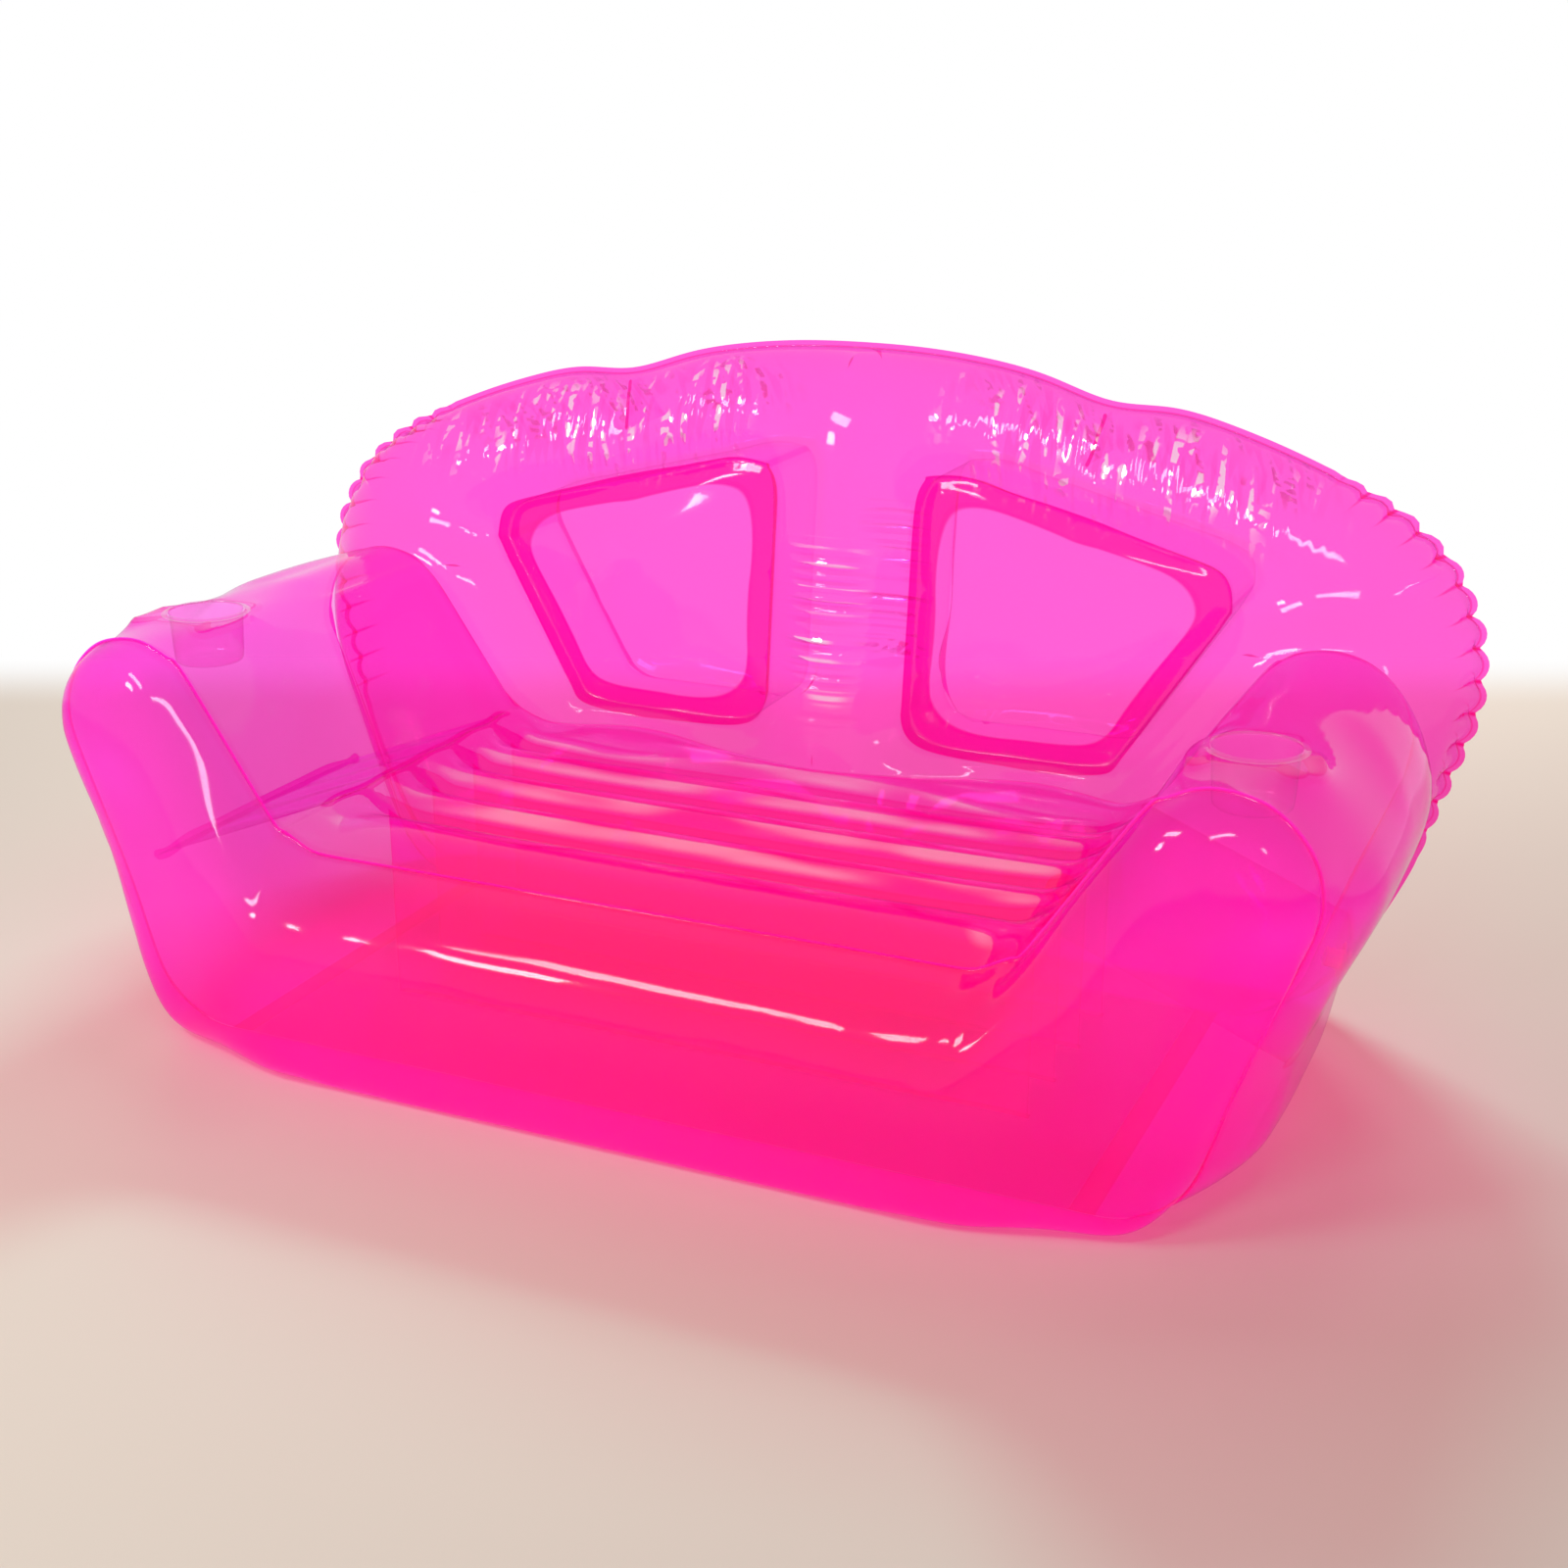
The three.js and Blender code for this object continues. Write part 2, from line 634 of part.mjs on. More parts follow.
function windowOutline() {
  const corners = [
    flat(windowInner, windowFloor),
    flat(windowInner, windowInnerTop),
    flat(windowOuterTopPlace, windowOuterTop),
    flat(windowOuterFootPlace, windowFloor),
  ];
  return corners.flatMap((corner, k) => {
    const before = corners[(k + 3) % 4].clone().sub(corner).normalize();
    const after = corners[(k + 1) % 4].clone().sub(corner).normalize();
    const run = windowRounding / Math.tan(Math.acos(before.dot(after)) / 2);
    const from = corner.clone().addScaledVector(before, run);
    const to = corner.clone().addScaledVector(after, run);
    return new THREE.QuadraticBezierCurve(from, corner, to).getPoints(roundSteps / 4);
  });
}

const windowEdge = windowOutline();
const windowMiddle = windowEdge.reduce((sum, point) => sum.add(point), flat(0, 0)).divideScalar(windowEdge.length);

// Where the line from the window's middle through a point crosses the window's edge
function onWindowEdge(target) {
  const aim = target.clone().sub(windowMiddle);
  for (let k = 0; k < windowEdge.length; k++) {
    const from = windowEdge[k].clone().sub(windowMiddle);
    const edge = windowEdge[(k + 1) % windowEdge.length].clone().sub(windowEdge[k]);
    const scale = aim.cross(edge);
    const reach = from.cross(edge) / scale;
    const share = from.cross(aim) / scale;
    if (reach > 0 && share >= 0 && share <= 1) return windowMiddle.clone().addScaledVector(aim, reach);
  }
  return target.clone();
}

// Rim of the right half: the crest with the tie's place in it, then the side down to the floor
function rimPoints() {
  const knots = rimShares.map(([x, z]) => vector(x * backHalfWidth, 0, z * backTop));
  const curve = new THREE.CatmullRomCurve3([...knots, vector(backHalfFoot, 0, floorFilm)]);
  const fine = curve.getSpacedPoints(roundSteps ** 2).map((point) => flat(point.x, point.z));
  const bridge = fine.findIndex((point) => point.x > windowMiddle.x && point.y < bridgeHeight);
  const tie = fine.findIndex((point) => point.x >= tiePlace);
  const pick = (from, to, steps) => Array.from({ length: steps + 1 }, (unused, k) => (
    fine[Math.round(THREE.MathUtils.lerp(from, to, k / steps))].clone()
  ));
  const tieSteps = Math.round(rimSteps * tie / bridge);
  const crest = [...pick(0, tie, tieSteps), ...pick(tie, bridge, rimSteps - tieSteps).slice(1)];
  const side = pick(bridge, fine.length - 1, floorIndex - armFlatStart);
  return { crest, side, all: [...crest, ...side.slice(1)], tieIndex: tieSteps };
}

const rim = rimPoints();

// Rings between the window's edge and a closed boundary, and from the edge in to the window's middle
const ringRows = (boundary) => easedSteps(spokeSteps).map((share) => (
  boundary.map((point) => onWindowEdge(point).lerp(point, share))
));

const paneRows = (boundary) => Array.from({ length: paneSteps + 1 }, (unused, k) => (
  boundary.map((point) => onWindowEdge(point).lerp(windowMiddle, Math.sin(Math.PI / 2 * k / paneSteps)))
));

// A flat mesh of one half of the back, on which the swelling of a film is worked out
function flatMesh() {
  const mesh = { points: [], cells: [], places: new Map() };
  mesh.indexOf = (point) => {
    const key = `${point.x.toFixed(2)} ${point.y.toFixed(2)}`;
    if (!mesh.places.has(key)) mesh.places.set(key, mesh.points.push(point.clone()) - 1);
    return mesh.places.get(key);
  };
  mesh.addRows = (rows) => {
    for (let j = 1; j < rows.length; j++) {
      for (let i = 1; i < rows[j].length; i++) {
        const corners = [rows[j - 1][i - 1], rows[j - 1][i], rows[j][i], rows[j][i - 1]];
        const clockwise = THREE.ShapeUtils.area(corners) < 0;
        mesh.cells.push((clockwise ? corners : corners.reverse()).map(mesh.indexOf));
      }
    }
  };
  return mesh;
}

// Spreads held values over a flat mesh; a source makes it bulge between them like a membrane
function spread(mesh, held, source) {
  const links = mesh.points.map(() => new Map());
  const areas = mesh.points.map(() => 0);
  const length = (a, b) => mesh.points[a].distanceTo(mesh.points[b]);
  const link = (from, to, weight) => links[from].set(to, (links[from].get(to) ?? 0) + weight);
  for (const cell of mesh.cells) {
    const area = Math.abs(THREE.ShapeUtils.area(cell.map((n) => mesh.points[n])));
    cell.forEach((from, k) => {
      areas[from] += area / 4;
      const to = cell[(k + 1) % 4];
      const across = length(from, to);
      if (across === 0) return;
      const weight = area / across / (across + length(cell[(k + 2) % 4], cell[(k + 3) % 4]));
      link(from, to, weight);
      link(to, from, weight);
    });
  }
  const values = mesh.points.map((unused, n) => held.get(n) ?? 0);
  for (let pass = 0; pass < relaxPasses; pass++) {
    for (let n = 0; n < values.length; n++) {
      if (held.has(n)) continue;
      let sum = source * areas[n];
      let total = 0;
      for (const [other, weight] of links[n]) {
        sum += weight * values[other];
        total += weight;
      }
      values[n] += relaxShare * (sum / total - values[n]);
    }
  }
  return values;
}

// Both halves of a film of the back, swollen off its middle plane; facing is -1 in front, 1 behind.
// The front film never stands in front of the body's rear seam.
function backFilm(mesh, offsets, panes, facing) {
  const still = new Map([...offsets].map(([n]) => [n, 0]));
  const base = spread(mesh, offsets, 0);
  const swell = spread(mesh, still, 2);
  const points = mesh.points.map((point, n) => {
    const share = panes.has(n) ? paneSwellShare : backSwellShare;
    const atTie = bell(point.x - tiePlace, tieReach) * smooth(point.y, windowOuterTop, tieTop);
    const rise = share * Math.sqrt(Math.max(swell[n], 0)) * (1 - tieDrawShare * atTie);
    const depth = backMiddle(point.y) + facing * (base[n] + rise + layer / 2);
    return vector(point.x, Math.max(depth, rearSeam(point)), point.y);
  });
  const facets = mesh.cells.flatMap((cell) => {
    const right = cell.map((n) => points[n]);
    return [right, right.map(mirrored).reverse()];
  });
  return { points, facets };
}

// The half mesh of a film: rings round the window, panes, the rim's hem, and what is held where
function backMesh(boundary, facing) {
  const mesh = flatMesh();
  mesh.addRows(ringRows(boundary));
  mesh.addRows(paneRows(boundary));
  const offsets = new Map();
  for (const point of boundary) offsets.set(mesh.indexOf(onWindowEdge(point)), windowWebDepth / 2);
  const panes = new Set(paneRows(boundary).flat().map(mesh.indexOf).filter((n) => !offsets.has(n)));
  const normals = outlineNormals(wholeOutline(rim.all)).slice(rim.all.length - 1);
  const hem = rim.all.map((point, k) => (
    point.clone().addScaledVector(normals[k], rimHem * hemShareAt(point.y))
  ));
  mesh.addRows([hem, rim.all]);
  for (const point of [...rim.all, ...hem]) offsets.set(mesh.indexOf(point), -facing * rimForward);
  return { mesh, offsets, panes };
}

function backFrontFilm() {
  const { upper, lower } = bodyOutline(floorFilm);
  const seatSide = upper.slice(0, armFlatStart + 1);
  const armSide = [...upper.slice(armFlatStart), ...lower.slice(1)];
  const strip = easedSteps(stripSteps).map((share) => (
    armSide.map((point, k) => rim.side[k].clone().lerp(point, share))
  ));
  const bridge = strip.map((row) => row[0]);
  const boundary = [
    ...easedLine(seatSide[0], rim.crest[0], centreSteps), ...rim.crest.slice(1), ...bridge.slice(1),
    ...seatSide.slice(0, -1).reverse(),
  ];
  const { mesh, offsets, panes } = backMesh(boundary, -1);
  mesh.addRows(strip);
  const seamOffset = (point) => backMiddle(point.y) - rearSeam(point) - layer / 2;
  for (const point of [...seatSide, ...armSide]) offsets.set(mesh.indexOf(point), seamOffset(point));
  for (const row of strip) {
    const foot = row.at(-1);
    const share = (backHalfFoot - foot.x) / (backHalfFoot - baseHalfWidth);
    offsets.set(mesh.indexOf(foot), THREE.MathUtils.lerp(rimForward, seamOffset(armSide.at(-1)), share));
  }
  const { points, facets } = backFilm(mesh, offsets, panes, -1);
  const at = (point) => points[mesh.indexOf(point)];
  return { at, boundary, facets: [...facets, ...gridFacets(wallRows)] };
}

// Rear film: it turns in under the back and reaches the body's rear wall
function backRearFilm() {
  const foot = flat(backHalfFoot, floorFilm);
  const floorLine = lineSteps(foot, flat(0, floorFilm), footSteps);
  const boundary = [
    ...easedLine(floorLine.at(-1), rim.crest[0], rearCentreSteps), ...rim.all.slice(1),
    ...floorLine.slice(1),
  ];
  const { mesh, offsets, panes } = backMesh(boundary, 1);
  for (const point of floorLine) offsets.set(mesh.indexOf(point), -rimForward);
  const { points, facets } = backFilm(mesh, offsets, panes, 1);
  const at = (point) => points[mesh.indexOf(point)];
  const edge = wholeOutline([...floorLine].reverse());
  const inset = (baseHalfWidth - layer) / backHalfFoot;
  const sole = [
    edge.map((point) => vector(point.x * inset, bodyDepth + layer, floorFilm)),
    edge.map((point) => at(flat(Math.abs(point.x), point.y)).clone().setX(point.x)),
  ];
  return { at, boundary, facets: [...facets, ...gridFacets(sole, true)] };
}

const backFront = backFrontFilm();
const backRear = backRearFilm();
const backValve = seatOn(backRear.facets, backValvePlace, vector(0, 1, 0));

// Band round a window, between the two films of the back
function windowWeb(side) {
  const edge = backFront.boundary.map(onWindowEdge);
  const reach = windowWebDepth / 2 + layer / 2 - film / 2 - weldGap;
  const rows = [-1, 0, 1].map((share) => edge.map((point) => (
    vector(side * point.x, backMiddle(point.y) + share * reach, point.y)
  )));
  return filmSheet(gridFacets(rows.map((row) => [...row, row[0]])));
}

// Short tie in the crest, between the two films
function crestTie(side) {
  const target = rim.crest[rim.tieIndex];
  const inset = film / 2 + weldGap;
  const shares = easedSteps(spokeSteps).slice(tieFirstRing, -1);
  return filmSheet(gridFacets(shares.map((share) => {
    const point = onWindowEdge(target).lerp(target, share);
    const from = backFront.at(point).clone();
    const to = backRear.at(point).clone();
    const across = vector(0, 2 * inset, 0);
    return lineSteps(from.add(across), to.sub(across), webSteps);
  })).map((facet) => (side < 0 ? facet.map(mirrored).reverse() : facet)));
}

// Valves: a stem let into the film, a flap at its inner end and a stopper on a strap
function valveStem(seat) {
  const bottom = film / 2 + 2 * weldGap;
  const profile = [
    flat(valveHem, bottom),
    flat(valveHem, bottom + valveHemThickness),
    flat(valveTube, bottom + valveHemThickness),
    flat(valveTube, valveCollar),
    flat(valveBore, valveCollar),
    flat(valveBore, -valveLength),
    flat(valveTube, -valveLength),
    flat(valveTube, bottom),
    flat(valveHem, bottom),
  ];
  return setOn(new THREE.LatheGeometry(profile, roundSteps).rotateX(Math.PI / 2), seat);
}

function disc(radius, thickness, lowest, topRadius = radius) {
  const body = new THREE.CylinderGeometry(topRadius, radius, thickness, roundSteps);
  return body.rotateX(Math.PI / 2).translate(0, 0, lowest + thickness / 2);
}

function valveFlap(seat) {
  const top = -valveLength - weldGap;
  const tab = new THREE.BoxGeometry(flapTab, strapWidth, flapThickness);
  tab.translate(valveBore + flapOverlap, 0, top - flapThickness / 2);
  return setOn(joined(disc(valveBore + flapOverlap, flapThickness, top - flapThickness), tab), seat);
}

const strapLevel = valveCollar + weldGap + strapThickness / 2;

function valveCap(seat) {
  const under = valveCollar + weldGap;
  const plug = disc(plugRadius - plugTaper, plugLength, under - plugLength, plugRadius);
  const strap = new THREE.BoxGeometry(hingeReach, strapWidth, strapThickness);
  const knuckle = new THREE.CylinderGeometry(strapThickness, strapThickness, strapWidth, roundSteps);
  strap.translate(hingeReach / 2, 0, strapLevel);
  knuckle.translate(hingeReach, 0, strapLevel);
  return setOn(joined(disc(capRadius, capThickness, under), plug, strap, knuckle), seat);
}

function geometryGroup() {
  const films = [
    ['body_front_panel', bodyFrontPanel(), clearFilm],
    ['seat_arm_panel', seatArmPanel(), clearFilm],
    ['base_panel', basePanel(), clearFilm],
    ...webPlaces.map((unused, k) => [`seat_web_${k + 1}`, seatWeb(k), webFilm]),
    ['arm_web_left', armWeb(-1), webFilm],
    ['arm_web_right', armWeb(1), webFilm],
    ['cup_holder_left', cupHolder(cupPlaces[0]), moulding],
    ['cup_holder_right', cupHolder(cupPlaces[1]), moulding],
    ['back_front_panel', filmSheet(backFront.facets), clearFilm],
    ['back_rear_panel', backRearPanel(), clearFilm],
    ['window_web_left', windowWeb(-1), webFilm],
    ['window_web_right', windowWeb(1), webFilm],
    ['crest_tie_left', crestTie(-1), webFilm],
    ['crest_tie_right', crestTie(1), webFilm],
  ];
  for (const [name, seat] of [['body_valve', bodyValve], ['back_valve', backValve]]) {
    films.push([`${name}_stem`, valveStem(seat), moulding]);
    films.push([`${name}_flap`, valveFlap(seat), moulding]);
    films.push([`${name}_cap`, valveCap(seat), moulding]);
  }
  const group = new THREE.Group();
  for (const [name, geometry, material] of films) {
    const mesh = new THREE.Mesh(closed(geometry), material.clone());
    mesh.name = name;
    group.add(mesh);
  }
  return group;
}

function backRearPanel() {
  return cutAway(filmSheet(backRear.facets), holeCutter(backValve.place, backValve.outward, valveHole));
}

// Without doubled corners and collapsed facets, and with smooth shading left out
function closed(geometry) {
  const merged = mergeVertices(bare(geometry));
  const index = Array.from(merged.index.array);
  const kept = [];
  for (let k = 0; k < index.length; k += 3) {
    const [a, b, c] = index.slice(k, k + 3);
    if (a !== b && b !== c && c !== a) kept.push(a, b, c);
  }
  merged.setIndex(kept);
  merged.computeVertexNormals();
  return merged;
}

// The finished sofa stands centred on its footprint
const sofa = geometryGroup();
const room = new THREE.Box3().setFromObject(sofa);
const shift = room.getCenter(vector(0, 0, 0)).setZ(room.min.z).negate();
for (const mesh of sofa.children) mesh.geometry.translate(shift.x, shift.y, shift.z);

export default sofa;
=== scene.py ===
# Inflatable floor sofa for two, in clear pink vinyl film welded into two air chambers.
# Metres, +Z up, the front faces -Y. Each film is one smooth sheet laid over its packed panel.
import json
import math

import bpy
import numpy as np
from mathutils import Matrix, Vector
from mathutils.bvhtree import BVHTree
from mathutils.kdtree import KDTree

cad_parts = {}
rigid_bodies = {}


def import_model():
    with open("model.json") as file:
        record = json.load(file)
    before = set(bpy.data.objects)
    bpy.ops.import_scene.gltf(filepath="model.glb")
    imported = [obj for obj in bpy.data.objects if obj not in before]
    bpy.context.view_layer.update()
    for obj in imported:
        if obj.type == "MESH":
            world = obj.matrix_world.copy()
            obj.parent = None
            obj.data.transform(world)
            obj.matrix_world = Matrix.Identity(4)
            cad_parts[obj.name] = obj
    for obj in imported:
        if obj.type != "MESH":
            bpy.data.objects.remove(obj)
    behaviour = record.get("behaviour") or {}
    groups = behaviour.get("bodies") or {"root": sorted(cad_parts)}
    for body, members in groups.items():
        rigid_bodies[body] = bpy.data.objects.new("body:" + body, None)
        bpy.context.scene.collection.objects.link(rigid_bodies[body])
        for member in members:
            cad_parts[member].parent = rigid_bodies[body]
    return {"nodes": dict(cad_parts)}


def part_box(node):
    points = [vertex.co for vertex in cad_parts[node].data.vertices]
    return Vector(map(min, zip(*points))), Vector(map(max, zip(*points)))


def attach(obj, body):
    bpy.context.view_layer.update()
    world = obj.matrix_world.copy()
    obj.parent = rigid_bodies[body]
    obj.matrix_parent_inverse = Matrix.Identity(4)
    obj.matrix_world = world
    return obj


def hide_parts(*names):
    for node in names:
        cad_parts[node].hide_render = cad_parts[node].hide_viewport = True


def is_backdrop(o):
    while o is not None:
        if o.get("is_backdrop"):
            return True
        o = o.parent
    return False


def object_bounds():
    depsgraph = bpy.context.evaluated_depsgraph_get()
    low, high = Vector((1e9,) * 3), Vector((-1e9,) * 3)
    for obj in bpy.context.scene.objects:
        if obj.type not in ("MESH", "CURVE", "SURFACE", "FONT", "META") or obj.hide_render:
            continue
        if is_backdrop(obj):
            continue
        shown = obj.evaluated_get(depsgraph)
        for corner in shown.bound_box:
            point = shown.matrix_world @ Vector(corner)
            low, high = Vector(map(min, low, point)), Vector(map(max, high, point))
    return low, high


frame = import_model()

scene = bpy.context.scene
scene.view_settings.view_transform = "Standard"
scene.cycles.transparent_max_bounces = 40       # many films lie behind each other
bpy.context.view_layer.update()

# Camera, where the photographer stood: a little over a metre up, to the right of the sofa's middle,
# turned to the left and tilted down. The picture is square.
PHOTO_SIDE = 1600
FOCAL_PIXELS = 2224.09
SENSOR_WIDTH = 36
CAMERA_SIDE, CAMERA_HEIGHT = 0.97457, 1.06499
CAMERA_AHEAD = 1.77107          # in front of the front film's weld
TURN = math.radians(24.217)
TILT = math.radians(19.265)
front_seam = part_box("base_panel")[0].y
bpy.ops.object.camera_add(
    location=(CAMERA_SIDE, front_seam - CAMERA_AHEAD, CAMERA_HEIGHT),
    rotation=(math.pi / 2 - TILT, 0, TURN),
)
camera = bpy.context.object
camera.name = "camera"
camera.data.sensor_width = SENSOR_WIDTH
camera.data.lens = SENSOR_WIDTH * FOCAL_PIXELS / PHOTO_SIDE
scene.camera = camera


# Floor and backdrop: a pale, plain studio floor that turns white behind the sofa, where the bright
# room ends.
def add(tree, kind, wires=(), **settings):
    made = tree.nodes.new("ShaderNode" + kind)
    for key, value in settings.items():
        sockets = [s for s in made.inputs if s.name.replace(" ", "_").lower() == key]
        if sockets:
            sockets[0].default_value = value
        else:
            setattr(made, key, value)
    for k, wire in enumerate(wires):
        if isinstance(wire, (int, float, tuple)):
            made.inputs[k].default_value = wire
        else:
            tree.links.new(wire, made.inputs[k])
    return made.outputs[0] if made.outputs else made


def maths(tree, operation, *values):
    return add(tree, "Math", values, operation=operation)


def ramp(tree, value, low, high):
    return add(tree, "MapRange", [value, low, high], interpolation_type="SMOOTHSTEP")


def new_material(name):
    material = bpy.data.materials.new(name)
    material.use_nodes = True
    material.node_tree.nodes.clear()
    return material, material.node_tree


def open_rays(tree):
    path = tree.nodes.new("ShaderNodeLightPath")
    seen = maths(tree, "MAXIMUM", path.outputs["Is Camera Ray"], path.outputs["Is Glossy Ray"])
    return maths(tree, "MAXIMUM", seen, path.outputs["Is Transmission Ray"])


FLOOR_SIDE = 30
FLOOR_COLOUR = (0.62, 0.54, 0.46, 1)
WHITE_BEHIND = (1.12, 1.42)     # the floor turns white this far behind the middle
WHITE_AROUND = (2.6, 4.5)       # and this far from it on any side
ROOM_COLOUR = (1.0, 0.985, 0.97, 1)
ROOM_STRENGTH = 0.15
WHITE = (1, 1, 1, 1)

bpy.ops.mesh.primitive_plane_add(size=FLOOR_SIDE, location=(0, 0, 0))
floor = bpy.context.object
floor.name = "studio_floor"
material, tree = new_material("pale floor")
spot = tree.nodes.new("ShaderNodeTexCoord").outputs["Object"]
behind = tree.nodes.new("ShaderNodeVectorMath")
behind.operation = "DOT_PRODUCT"
behind.inputs[1].default_value = (-math.sin(TURN), math.cos(TURN), 0)
tree.links.new(spot, behind.inputs[0])
away = tree.nodes.new("ShaderNodeVectorMath")
away.operation = "LENGTH"
tree.links.new(spot, away.inputs[0])
far = maths(
    tree, "MAXIMUM",
    ramp(tree, behind.outputs["Value"], *WHITE_BEHIND), ramp(tree, away.outputs["Value"], *WHITE_AROUND),
)
pale = add(tree, "BsdfPrincipled", base_color=FLOOR_COLOUR, roughness=0.5)
white = add(tree, "Emission", color=WHITE, strength=1)
shown = maths(tree, "MULTIPLY", far, open_rays(tree))
add(tree, "OutputMaterial", [add(tree, "MixShader", [shown, pale, white])])
floor.data.materials.append(material)
floor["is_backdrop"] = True

world = bpy.data.worlds.new("studio")
scene.world = world
world.use_nodes = True
tree = world.node_tree
tree.nodes.clear()
room = add(tree, "Background", color=ROOM_COLOUR, strength=ROOM_STRENGTH)
bright = add(tree, "Background", color=WHITE, strength=1)
add(tree, "OutputWorld", [add(tree, "MixShader", [open_rays(tree), room, bright])])

# Lamps: a wide window light high behind the sofa, which throws its pink shadow forward, and smaller
# soft boxes in front whose reflections run along the film. Place, aim, size and power of each.
SOFT_BOXES = {
    "window_light": [(-0.70, 3.1, 2.75), (0, -0.2, 0.1), (1.3, 0.6), 176],
    "front_light": [(-1.30, -2.0, 1.50), (-0.1, 0.1, 0.4), (0.36, 0.24), 9],
    "side_light": [(0.48, -1.60, 1.75), (-0.5, -0.37, 0.32), (1.1, 0.13), 9],
    "low_light": [(-0.80, -1.60, 1.80), (0.0, -0.4, 0.2), (0.80, 0.26), 14],
    "right_light": [(2.4, -1.6, 2.0), (0.2, 0, 0.3), (0.3, 0.3), 4],
}
for name, (place, aim, size, power) in SOFT_BOXES.items():
    bpy.ops.object.light_add(type="AREA", location=place)
    lamp = bpy.context.object
    lamp.name = name
    lamp.data.shape = "RECTANGLE"
    lamp.data.size, lamp.data.size_y = size
    lamp.data.energy = power
    lamp.visible_camera = False
    lamp.visible_glossy = name != "window_light"        # its image would show on the inner films
    lamp.rotation_mode = "QUATERNION"
    lamp.rotation_quaternion = (Vector(aim) - Vector(place)).to_track_quat("-Z", "Y")

# Front film: one flat-cut panel that closes the seat and both arms, welded to them all round. Air
# pushes it out between its weld line and the floor, and it lies on the floor before it turns up.
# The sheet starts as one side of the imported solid, whose corners the rounded sheet passes through.
FILM_EDGE = 0.00055         # a packed film's edge faces are narrower than this
MERGE_REACH = 0.00005
QUAD_ANGLE = 1.2            # radians, the most that two joined triangles may differ by
WELD_REACH = 0.0026         # a tension sheet is welded where it comes this near
HEM_WIDTH = 0.0092          # strips along the border narrower than this are the welded hem
WELD_BAND = {"seat": 0.0170, "arm": 0.0055, "window": 0.0145, "crest": 0.0020}      # half its width
LEAST_BAND = 0.0005
PANE_BAND = 0.34            # how far up a pane's crown its own side of the weld's band reaches
FLOOR_FILM = 0.0002         # film that lies on the floor
FAR = 0.3                   # distance given to places that no line comes near
MARKED = 0.999              # places on a line have at least this value of its mark
CAGE_STEPS, CAGE_SHARE = 6, 0.9
FILM_PASSES = 60
FRONT_PASSES = 320          # the wide dome in front takes more
SMOOTH_STEPS = (0.63, -0.64)        # in, then out again, so nothing shrinks


def pick(piece):
    if bpy.context.object and bpy.context.object.mode != "OBJECT":
        bpy.ops.object.mode_set(mode="OBJECT")
    bpy.ops.object.select_all(action="DESELECT")
    piece.select_set(True)
    bpy.context.view_layer.objects.active = piece


def places_of(mesh):
    flat = np.zeros(len(mesh.vertices) * 3)
    mesh.vertices.foreach_get("co", flat)
    return flat.reshape(-1, 3)


def put(mesh, places):
    mesh.vertices.foreach_set("co", places.ravel())
    mesh.update()


def values_of(mesh, name):
    values = np.zeros(len(mesh.vertices))
    mesh.attributes[name].data.foreach_get("value", values)
    return values


def keep_values(mesh, name, values, domain="POINT"):
    mesh.attributes.new(name, "FLOAT", domain).data.foreach_set("value", values)


def edges_of(mesh):
    pairs = np.zeros(len(mesh.edges) * 2, int)
    mesh.edges.foreach_get("vertices", pairs)
    return pairs.reshape(-1, 2)


def longest_side(places, face):
    ring = places[list(face.vertices)]
    return np.linalg.norm(ring - np.roll(ring, 1, 0), axis=1).max()


# Which tension sheet is welded to each corner of a sheet, or -1
def welded_to(places, web_names):
    owner = np.full(len(places), -1)
    for number, web in enumerate(web_names):
        sheet = frame["nodes"][web].data
        tree = BVHTree.FromPolygons([v.co for v in sheet.vertices], [f.vertices for f in sheet.polygons])
        reached = [tree.find_nearest(place, WELD_REACH)[0] is not None for place in places.tolist()]
        owner[reached] = number
    return owner


